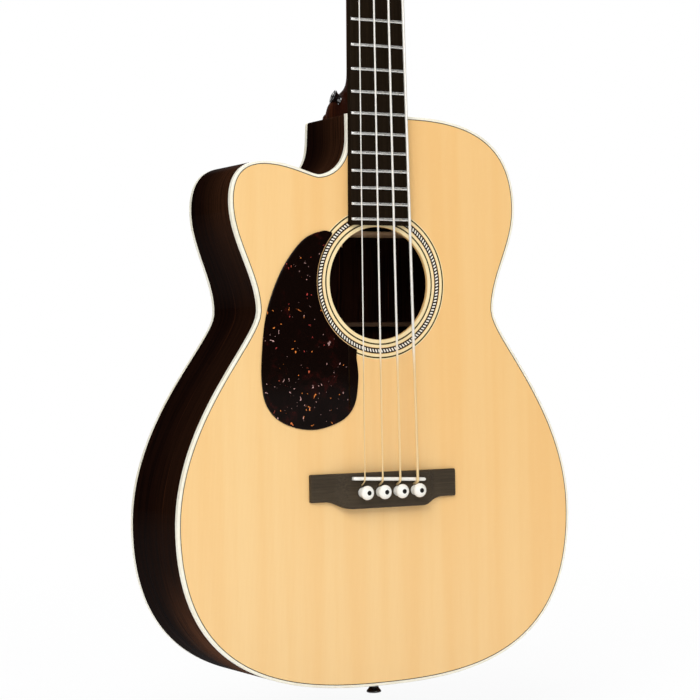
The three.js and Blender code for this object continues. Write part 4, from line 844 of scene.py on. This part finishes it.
def neckShape():
    n = neck
    rings = [neckRing(n.join + rise, n.heelDepth * deep, min(max(share, 0.0), 1.0))
        for rise, deep, share in smoothed(n.heel, n.perSpan)]
    last, atLast = n.join + n.heel[-1][0], n.heelDepth * n.heel[-1][1]
    for k in range(1, n.spans):
        rings.append(neckRing(last * (1 - k / n.spans), atLast + (n.thin - atLast) * k / n.spans, 0.0))
    ups = [start + step * k for start, step, count in head.rows for k in range(count)] + cornerUps(1, 6)
    rings += [headRing(up) for up in ups]
    channel = bar(n.channelHalf, -n.beyond, n.channelDeep, n.join - n.beyond, n.channelEnd)
    holes = [placed(drill(head.postHole, -3, 40), headTurn @ spot) for spot in postSpots]
    return carved(loft(rings), channel, *holes)


def neckFinish():
    look = Sizes(pale=(0.105, 0.028, 0.009), dark=(0.022, 0.0052, 0.0026), pore=(0.009, 0.0025, 0.0016))
    made = Finish("neckMahogany", Coat_Roughness=0.12, Coat_IOR=1.35, Specular_IOR_Level=0.0)
    place = made.place()
    sway = made.grain(place, (20.0, 20.0, 3.0), 2.0)
    grain = made.grain(place, (380.0, 380.0, 7.0), 4.0, 0.6, 0.5)
    pore = made.grain(place, (2600.0, 2600.0, 120.0)).ease(0.64, 0.72)
    tone = made.blend((grain * 0.65 + sway * 0.35).ease(0.35, 0.65), look.dark, look.pale)
    # painted shade: darker close to the fingerboard, and darker again on the heel near the body
    tone = made.blend(made.parts(place, 1).ease(0.034, 0.006) * 0.65, tone, look.dark)
    heelShade = made.parts(place, 1).ease(0.066, 0.032) * made.parts(place, 2).ease(-0.46, -0.50)
    tone = made.blend(heelShade * 0.85, tone, look.dark)
    tone = made.blend(pore * 0.6, tone, look.pore)
    return made.surface(Base_Color=tone, Roughness=grain.ease(0.3, 0.7, 0.3, 0.4),
        Coat_Weight=sway.ease(0.2, 0.8, 0.06, 0.12), Normal=made.relief(grain * 0.4 - pore, 0.00003))


def veneerShape():
    start, reach = head.veneerStart, head.shoulder + head.corner - head.veneerStart
    ups = [start + reach * k / 20 for k in range(21)] + cornerUps(0, 8)
    right = [Vector((headHalf(up), up)) for up in ups]
    outline = right + [Vector((-p.x, p.y)) for p in reversed(right)]
    return carved(slab(outline, -head.veneer, head.veneerSunk, head.veneerEdge, 2),
        *(placed(drill(head.postHole, -9, 9), spot) for spot in postSpots))


piece("neckShaft", neckShape(), neckFinish(), ["neck"], sharp=34.0)
piece("headstockFace", veneerShape(), veneerWood, ["headstock_veneer"], moved=headTurn)

cap = Sizes(
    deep=2.2, sunk=0.1, gap=0.3, edge=0.45, perSpan=4,
    side=((12.5, 0), (12.3, 3.6), (11.2, 6.9), (8.4, 9.3), (4.4, 10.5), (0, 10.9)),
)
capSide = [Vector((p.x, p.y + neck.join + cap.gap)) for p in smoothed(cap.side, cap.perSpan)]
capSide += [Vector((-p.x, p.y)) for p in capSide[-2::-1]]
piece("heelCapPlate", slab(capSide, neck.heelDepth - cap.sunk, neck.heelDepth + cap.deep, cap.edge, 3),
    capWood, ["heel_cap"])
print("neck made")


# Fingerboard, frets, dots and nut
board = Sizes(
    end=-639.86, thick=6.8, drop=1.0, nutHalf=21.3, endHalf=31.3, edge=0.45, corner=0.13, across=12,
    lip=((0.0, 0.7), (0.25, 0.25), (0.8, 0.0)), spans=8,
)
fret = Sizes(
    count=23, scale=863.6, width=2.8, crown=1.12, inset=0.45, bevel=1.3, stations=24, crowd=1.5,
    endTall=0.12, endWide=0.72, sunk=0.4, foot=0.9,
)


def fretZ(n):
    return -fret.scale * (1 - 2 ** (-n / 12))


def boardHalf(z):
    return board.nutHalf + (board.endHalf - board.nutHalf) * z / board.end


def boardTop(share):
    return -board.thick + board.drop * share * share


def boardShape():
    b = board
    stops = [(b.end + rise, pull) for rise, pull in b.lip]
    stops += [(b.end * (1 - k / b.spans), 0.0) for k in range(1, b.spans + 1)]
    rings = []
    for z, pull in stops:
        half, low = boardHalf(z) - pull, boardTop(1) + pull
        side = [(half, low + b.edge, z), (half - b.corner, low + b.corner, z)]
        row = [(s * (half - b.edge), boardTop(s) + pull, z) for s in spread(b.across)]
        rings.append([(-x, y, z) for x, y, z in side] + row + side[::-1] + [(half, 0.0, z), (-half, 0.0, z)])
    return loft(rings)


def fretShape(n):
    f = fret
    z = fretZ(n)
    half = boardHalf(z) - f.inset
    rings = []
    for even in spread(f.stations):
        share = copysign(1 - (1 - abs(even)) ** f.crowd, even)  # closer together near the ends
        near = min((1 - abs(share)) * half / f.bevel, 1.0)
        tall = f.crown * sin(pi / 2 * (f.endTall + (1 - f.endTall) * near))
        wide = f.width / 2 * (f.endWide + (1 - f.endWide) * near)
        seat = boardTop(share)
        arch = [(seat - up, z + off) for off, up in halfRound(wide, tall, 10)]
        foot = [(seat + f.sunk, z + side * wide * f.foot) for side in (-1, 1)]
        rings.append([(share * half, y, along) for y, along in arch + foot])
    return loft(rings)


piece("fingerboardPlank", boardShape(), boardWood, ["fingerboard"], sharp=34.0)
piece("fretWires", together(*(fretShape(n + 1) for n in range(fret.count))), fretMetal,
    ["frets"], sharp=50.0)
dress(steel, "truss_rod", "truss_rod_nut")

dots = Sizes(frets=(3, 5, 7, 9, 12, 15, 17, 19, 21), pair=4.0, y=-3.6, inset=0.6,
    profile=((0, 0.4), (1.1, 0.4), (1.1, -0.66, 0.15), (0, -0.7)))
dotShapes = []
for n in dots.frets:
    between = (fretZ(n) + fretZ(n - 1)) / 2
    for z in (between - dots.pair, between + dots.pair) if n == 12 else (between,):
        here = Matrix.Translation((boardHalf(z) - dots.inset, dots.y, z)) @ Matrix.Rotation(pi / 2, 4, "Z")
        dotShapes.append(placed(spun(dots.profile, 24), here))
piece("sideDots", together(*dotShapes), pearl)

nut = Sizes(
    thick=5.0, crest=8.9, bow=0.9, end=0.6, endDrop=0.5, stations=32, front=0.45, slope=2.2, foot=1.2,
    rounds=(0.5, 1.5, 1.4), slot=1.2, slotPlay=0.25, slotRoom=0.3, past=3.0, beyond=20.0,
)


def nutShape():
    rings = []
    for share in spread(nut.stations):
        x = neck.nutHalf * share
        tip = max(0.0, abs(x) - neck.nutHalf + nut.end) / nut.end
        crest = nut.bow * share ** 2 + nut.endDrop * tip ** 2 - nut.crest
        section = soften([(0.0, 0.0, 0.0), (0.0, crest, nut.rounds[0]), (nut.thick * nut.front, crest,
            nut.rounds[1]), (nut.thick, crest + nut.slope, nut.rounds[2]), (nut.thick, nut.foot, 0.0)])
        rings.append([(x, p.y, p.x) for p in section])
    cuts = []
    for line in stringLines:
        wide, deep = line.radius + nut.slotPlay, line.radius + nut.slotRoom
        level = nut.slot - nut.crest - deep
        arch = [(x, level + up) for x, up in halfRound(wide, deep, 8)]
        outline = [(wide, -nut.beyond), *arch, (-wide, -nut.beyond)]
        cuts.append(loft([[(line.nutPlace + x, y, z) for x, y in outline]
            for z in (-nut.past, nut.thick + nut.past)]))
    return carved(loft(rings), *cuts)


piece("nutBlock", nutShape(), bone, ["nut"], sharp=50.0)
print("fingerboard made")


# Buttons for the strap
button = Sizes(
    profile=((0, 15.0), (2.2, 15.0, 0.4), (2.2, -0.1), (5.0, -0.1, 0.5), (4.3, -1.4, 0.4), (4.1, -4.6, 1.4),
        (6.3, -7.2, 0.9), (6.5, -8.4, 0.5), (5.2, -9.0, 0.6), (0, -9.0)),
    screw=((0, -8.2), (2.9, -8.2), (2.9, -9.1, 0.2), (1.6, -9.7, 0.9), (0, -9.95)),
    arm=1.7, deep=2.2, top=-11.0, place=(-21.3, 27.0, 15.5), turn=1.82, lift=0.42,
)
endPin = Sizes(
    profile=((0, 19.0), (4.1, 19.0, 0.6), (4.2, -0.1), (5.3, -0.1, 0.5), (4.5, -1.4, 0.4), (4.3, -4.8, 1.4),
        (6.7, -7.6, 0.9), (6.9, -8.9, 0.5), (5.6, -9.5, 0.6), (0, -9.5)),
    eye=((0, -9.2), (2.2, -9.2), (2.2, -9.58, 0.15), (0, -9.62)), y=23.0,
)


def crossScrew(profile, arm, deep, top, slotHalf=0.35):
    return carved(spun(profile, 40), *(bar(x, top, top + deep, -z, z)
        for x, z in ((arm, slotHalf), (slotHalf, arm))))


x, y, z = button.place
onHeel = Matrix.Translation((x, y, neck.join + z)) @ Matrix.Rotation(-button.turn, 4, "Z") \
    @ Matrix.Rotation(-button.lift, 4, "X")
inTail = Matrix.Translation((0.0, endPin.y, body.tail)) @ Matrix.Rotation(pi / 2, 4, "X")
piece("strapButtonBody", spun(button.profile, 56), blackGloss, ["strap_button"], moved=onHeel)
piece("strapScrew", crossScrew(button.screw, button.arm, button.deep, button.top), nickel,
    moved=onHeel)
piece("endPinBody", spun(endPin.profile, 56), blackGloss, ["end_pin"], moved=inTail)
piece("endPinEye", spun(endPin.eye, 40), pearl, moved=inTail)
print("buttons made")


# Strings: ball end, up through the bridge, over saddle and nut, round the post
def windingFinish():
    made = Finish("bronzeWound")
    wound = made.carried("along")
    place = made.place()
    turns = ((made.parts(wound, 0) / made.parts(wound, 1)) * (2 * pi)).wave()
    cloud = made.noise(place, 500.0, 3.0)
    tone = made.blend(cloud.ease(0.3, 0.7), (0.99, 0.96, 0.90), (0.96, 0.92, 0.83))
    paintedTopReflection = made.parts(place, 2).ease(-0.735, -0.775)  # painted reflection of the spruce top: more golden between the soundhole and the bridge
    tone = made.blend(paintedTopReflection * 0.9, tone, (0.93, 0.66, 0.30))
    return made.surface(Base_Color=tone, Roughness=cloud.ease(0.3, 0.7, 0.32, 0.42),
        Metallic=cloud.ease(0.2, 0.8, 0.4, 0.5), Normal=made.relief(turns, 0.00002, 0.35))


cord = Sizes(
    loops=2, steps=40, spare=0.5, floor=4.5, sides=14, gap=0.3, pitchShare=0.32, bend=2.2, pinY=6.1,
    ramp=5.0, rampRise=2.8, ahead=3.4, notch=5.3, climbY=0.35, climbZ=2.2, ballAhead=5.8, ballY=10.4,
    fromBallY=2.6, fromBallZ=1.0,
    ball=((1.0, -1.6), (2.2, -1.9, 0.5), (2.6, 0, 1.2), (2.2, 1.9, 0.5), (1.0, 1.6), (1.0, -1.6)),
)


def stringRoute(line):
    sign = copysign(1.0, line.place)
    foot = bridge.line - bridge.pinBelow
    crest, nutY = (-top - cord.gap - line.radius for top in (saddle.crest, nut.crest - nut.slot))
    crestZ = bridge.line - saddle.shift - saddle.slant * line.place
    corners = [Vector((line.place, y, z)) for y, z in (
        (cord.ballY - cord.fromBallY, foot + cord.ballAhead - cord.fromBallZ), (cord.pinY, foot + cord.ahead),
        (-cord.ramp, foot + cord.ahead), (-cord.ramp - cord.rampRise, foot + cord.notch),
        (crest + cord.climbY, crestZ - cord.climbZ), (crest, crestZ))]
    corners += [Vector((line.nutPlace, nutY, z)) for z in (0.0, nut.thick)]
    reach = tuner.postRadius + cord.gap + line.radius
    pitch = 2 * line.radius + cord.spare
    turns = []
    for k in range(cord.loops * cord.steps + 1):
        turn = 2 * pi * k / cord.steps
        angle = pi - turn if sign > 0 else turn
        turns.append(Vector((sign * tuner.postX + reach * cos(angle), -cord.floor - pitch * k / cord.steps,
            line.up + reach * sin(angle))))
    spare = Vector((0, 0, 2 * line.radius))
    wound = [headTurn @ p for p in (turns[0] - spare, *turns, turns[-1] + spare)]
    corners.append(wound[0])
    found = [corners[0]]
    for before, here, after in zip(corners, corners[1:], corners[2:]):  # each bend as a short arc
        one, two = (here + side.normalized() * min(cord.bend, side.length * 0.45)
            for side in (before - here, after - here))
        found += rounded(one, here, two, 4)
    return found + wound


def tubeShape(route, radius, pitch):
    rings, carried = [], []
    across = Vector((1.0, 0.0, 0.0))
    for spot, along, run in stepsOf(route):
        across = (across - along * across.dot(along)).normalized()
        up = along.cross(across)
        rings.append([spot + (across * cos(t) + up * sin(t)) * radius for t in angles(cord.sides)])
        carried += [(run, pitch, 0.0)] * cord.sides
    return loft(rings), carried


bronze = windingFinish()
for line in stringLines:
    label = line.name.replace("_", "")
    shape, carried = tubeShape(stringRoute(line), line.radius, line.radius * cord.pitchShare)
    piece(label + "Wire", shape, bronze, [line.name], carried=carried, sharp=60.0,
        weighted=False)
    ballAt = Matrix.Translation((line.place, cord.ballY, bridge.line - bridge.pinBelow + cord.ballAhead))
    piece(label + "Ball", spun(cord.ball, 24), brass, moved=ballAt)
print("strings made")


# Tuners: plate with ears and screws on the instrument, a key with its worm, a post with its gear
fittings = Sizes(  # the plate's edge as (radius, waist, height), the rest as profiles and places
    edge=((4.0, 0.0, -17.0), (3.0, 0.0, 3.0), (3.0, 1.6, 8.0), (3.0, 0.0, 13.0), (4.0, 0.0, 23.0)),
    plateHole=5.5, plateEdge=0.35, earHole=2.75, earHalf=4.5, earFlare=0.8, earRoot=1.8, earEdge=0.25,
    earGap=0.3, gearEdge=0.3, threads=5.0, keyGap=0.9, pinch=0.07, outerPinch=0.4, oval=0.9,
    bush=((5.3, 1.0), (7.6, 1.0), (7.6, -2.2), (7.4, -2.7, 0.3), (6.6, -3.4, 0.5), (5.3, -3.5), (5.3, 1.0)),
    screw=((0, 17.0), (2.2, 17.0), (2.2, 17.7, 0.3), (1.2, 18.5, 0.6), (0, 18.6)), screwX=9.6,
    screwUps=(-13.4, 19.6), arm=1.3, deep=0.8, top=18.0,
    paddle=((1.0, 0.35), (0.985, 0.8), (0.93, 1.0), (0.8, 0.86), (0.55, 0.74), (0.25, 0.72), (0.02, 0.72)),
)
atWorm = Matrix.Translation((0, tuner.wormY, tuner.wormUp))


def plateShape():
    t, f = tuner, fittings
    right = [(t.half - waist, up, radius) for radius, waist, up in f.edge]
    left = [(-x, up, radius) for x, up, radius in right]
    outline = soften([left[0], *right, *left[:0:-1]], 6)
    return carved(slab(outline, t.back, t.back + t.plate, f.plateEdge, 3), drill(f.plateHole, 0, 40, 40))


def earsShape():
    t, f = tuner, fittings
    tall, root = t.wormY + f.earHalf, t.back + f.earRoot
    side = [(f.earHalf + f.earFlare, root, 0.3), (f.earHalf, t.wormY - 1.0, 1.0), (f.earHalf, tall, 4.2)]
    outline = soften([(t.wormUp - x, y, radius) for x, y, radius in side]
        + [(t.wormUp + x, y, radius) for x, y, radius in reversed(side)], 6)
    flat = slab(outline, 0.0, t.ear, f.earEdge, 2)
    bore = placed(drill(f.earHole, -40, 40), atWorm @ Matrix.Rotation(pi / 2, 4, "Z"))
    gap = t.wormLong / 2 + f.earGap
    turns = [Matrix(((0, 1, 0, x), (0, 0, 1, 0), (1, 0, 0, 0), (0, 0, 0, 1))) for x in (gap, -gap - t.ear)]
    return together(*(carved(placed(flat, turn), bore) for turn in turns))


def screwsShape():
    f = fittings
    screw = crossScrew(f.screw, f.arm, f.deep, f.top)
    return together(*(placed(screw, Matrix.Translation((x, 0, up)))
        for up in f.screwUps for x in (-f.screwX, f.screwX)))


def gearShape():
    t = tuner
    outline = []
    for turn in angles(t.teeth * 8):
        tooth = max(-1.0, min(1.0, cos(turn * t.teeth) * 1.5))
        radius = (t.gear + t.gearRoot) / 2 + (t.gear - t.gearRoot) / 2 * tooth
        outline.append(Vector((radius * cos(turn), radius * sin(turn))))
    return slab(outline, t.wormY - t.gearThick / 2, t.wormY + t.gearThick / 2, fittings.gearEdge, 2)


def postShape():
    t = tuner
    top, r, low = -t.postTop, t.postRadius, t.wormY + t.gearThick / 2
    shaft = spun([(0, low + 1.0), (3.6, low + 1.0, 0.3), (3.8, low - 0.5), (r, low - 0.5), (r, -3.2),
        (r, top + 9.0), (r, top + 1.0, 0.8), (r - 0.8, top, 0.6), (0, top)], 48)
    return carved(shaft, bar(t.slot, top - 3, top + t.slotDeep, -9, 9), drill(t.slot, top - 2, top + 12, 24))


def wormShape():  # a screw thread as a skin of rings that swell and shrink round the shaft
    t = tuner
    steps = 96
    rings = []
    for k in range(steps + 1):
        x = t.wormLong * (k / steps - 0.5)
        fade = min(1.0, min(k, steps - k) / 6)
        ring = []
        for angle in angles(24):
            swell = 0.5 + 0.5 * sin(2 * pi * fittings.threads * k / steps - angle)
            radius = t.wormRoot + (t.worm - t.wormRoot) * easeBetween(swell, 0.2, 0.8, 0.0, 1.0) * fade
            ring.append((x, t.wormY + radius * cos(angle), t.wormUp + radius * sin(angle)))
        rings.append(ring)
    return loft(rings)


def keyShape(sign):
    t = tuner
    past, end = -t.wormLong / 2 - t.ear - fittings.keyGap, t.reach
    shaft = spun([(0, past - 2.0), (3.4, past - 2.0, 0.5), (3.4, past - 0.05, 0.3), (t.shaft, past),
        (t.shaft, 9.6), (3.4, 9.8, 0.3), (3.4, 11.0, 0.3), (2.9, 11.4), (2.4, 14.0), (2.2, end - 4),
        (2.9, end - 1.6), (3.3, end + 1.2, 0.8), (0, end + 2.6)], 32)
    return placed(shaft, atWorm @ Matrix.Rotation(-sign * pi / 2, 4, "Z"))


def paddleShape(sign):  # a waisted oval, thick at its rim
    t, f = tuner, fittings
    centre = sign * (t.reach + t.paddle)
    rows = [(share, thick * t.paddleThick / 2) for share, thick in f.paddle]
    loops = []
    for share, y in [(share, -y) for share, y in reversed(rows)] + rows:
        loop = []
        for turn in angles(64):
            pinch = 1 - f.pinch * cos(2 * turn) ** 2 * (1 if cos(turn) * sign < 0 else f.outerPinch)
            loop.append((centre + t.paddle * share * cos(turn) * pinch, t.wormY + y,
                t.wormUp + t.paddle * f.oval * share * sin(turn) * pinch))
        loops.append(loop)
    return loft(loops)


for line, spot in zip(stringLines, postSpots):
    sign, post = copysign(1.0, line.place), line.post
    key = f"key_{post}"
    for part, shape, finish, stands, rides, sharp in (
            ("Plate", plateShape(), nickel, [f"tuner_bracket_{post}"], "instrument", 38.0),
            ("Ears", earsShape(), nickel, [], "instrument", 40.0),
            ("Screws", screwsShape(), nickel, [], "instrument", 38.0),
            ("Bush", spun(fittings.bush, 48), nickel, [], "instrument", 38.0),
            ("Key", keyShape(sign), nickel, [f"tuner_key_{post}"], key, 38.0),
            ("Worm", wormShape(), nickel, [], key, 60.0),
            ("Paddle", paddleShape(sign), nickel, [], key, 50.0),
            ("Post", postShape(), nickel, [f"tuner_post_{post}"], f"post_{post}", 38.0),
            ("Gear", gearShape(), brass, [], f"post_{post}", 60.0)):
        piece("tuner" + part + post.title().replace("_", ""), shape, finish, stands, rides,
            sharp, moved=headTurn @ spot)
print("tuners made")


# Studio
studio = Sizes(
    place=(-0.93987, -1.60755, -0.76588), lens=106.317, floor=-1.115, reach=30.0,
    right=(0.8705447, -0.4917582, -0.0180512), up=(0.0119554, -0.0155361, 0.9998078),
    ahead=(0.4919441, 0.8705932, 0.0076457), backdrop=(0.492, 0.8706, 0.0),
)
lens = bpy.data.cameras.new("photoLens")
lens.sensor_width, lens.lens = 36.0, studio.lens
lens.clip_start, lens.clip_end = 0.05, 60.0
viewer = bpy.data.objects.new("photoView", lens)
turn = Matrix((studio.right, studio.up, tuple(-v for v in studio.ahead))).transposed()
viewer.matrix_world = Matrix.Translation(studio.place) @ turn.to_4x4()
bpy.context.scene.collection.objects.link(viewer)
bpy.context.scene.camera = viewer

lamps = {
    "key": {"place": (-2.0, -2.3, 1.3), "aim": (0, 0, -0.75), "size": (2.0, 2.0), "power": 68.0},
    "fill": {"place": (0.15, -2.7, 0.4), "aim": (0, 0, -0.7), "size": (1.5, 1.1), "power": 15.0},
    "crown": {"place": (-0.4, 0.4, 2.0), "aim": (0, 0, -0.6), "size": (2.0, 2.0), "power": 22.0},
    "backWash": {"place": (0.9, 1.7, 2.2), "aim": (0, 0, -0.6), "size": (2.0, 2.0), "power": 60.0},
}
for name, lamp in lamps.items():
    light = bpy.data.lights.new(name, "AREA")
    light.shape, light.size, light.size_y = "RECTANGLE", *lamp["size"]
    light.energy = lamp["power"]
    holder = shown(name, light)
    holder.location = lamp["place"]
    holder.rotation_mode = "QUATERNION"
    holder.rotation_quaternion = (Vector(lamp["aim"]) - Vector(lamp["place"])).to_track_quat("-Z", "Y")


class Air(Finish):  # the world, built with the same shorthands
    def __init__(self, name):
        self.material = bpy.data.worlds.new(name)
        self.material.use_nodes = True
        self.tree = self.material.node_tree

    def glow(self, tint, strength):
        return self.node("Background", None, {"Color": (*tint, 1.0), "Strength": strength})

    def either(self, share, first, second):
        return self.node("MixShader", None, {0: share, 1: first, 2: second})


def seenBy(made, backed):  # camera rays, and mirrored or bent rays that meet the backdrop
    rays = [made.node("LightPath", out=f"Is {kind} Ray") for kind in ("Camera", "Glossy", "Transmission")]
    return rays[0] + (rays[1] + rays[2]) * backed


def facing(made, ray):  # how much a direction points at the backdrop
    return made.node("VectorMath", {"operation": "DOT_PRODUCT"}, {0: ray, 1: studio.backdrop},
        "Value").ease(0.84, 0.95)


air = Air("studioAir")
sky = air.place("Generated")
cool = (0.97, 0.98, 1.0)
room = air.either(air.parts(sky, 2).ease(0.55, 0.85), air.glow(cool, 0.03), air.glow((1, 1, 1), 0.8))
soft = air.either(air.node("LightPath", out="Is Glossy Ray"), air.glow(cool, 0.36), room)
whole = air.either(seenBy(air, facing(air, sky)), soft, air.glow((1, 1, 1), 1.0))
air.tree.links.new(whole.socket, air.tree.nodes["World Output"].inputs["Surface"])
bpy.context.scene.world = air.material

pale = plainFinish("paleFloor", (0.86, 0.86, 0.86), (0.88, 0.88, 0.88), (0.6, 0.7), 3.0)
ground = pale.place("Object")
away = pale.node("VectorMath", {"operation": "LENGTH"}, {0: ground}, "Value")
outward = pale.node("VectorMath", {"operation": "NORMALIZE"}, {0: ground})
glow = pale.node("Emission", None, {"Color": (1.0, 1.0, 1.0, 1.0), "Strength": 1.0})
share = seenBy(pale, facing(pale, outward)) * away.ease(0.5, 2.2, 0.66, 1.0)
lit = pale.node("MixShader", None, {0: share, 1: Shade(pale, pale.shader.outputs[0]), 2: glow})
pale.tree.links.new(lit.socket, pale.tree.nodes["Material Output"].inputs["Surface"])
floorMesh = bpy.data.meshes.new("studioFloor")
floorMesh.from_pydata([(x * studio.reach, y * studio.reach, studio.floor)
    for x, y in ((-1, -1), (1, -1), (1, 1), (-1, 1))], [], [(0, 1, 2, 3)])
floorMesh.materials.append(pale.material)
shown("studioFloor", floorMesh)
bpy.context.scene.view_settings.view_transform = "Standard"
print("studio made")
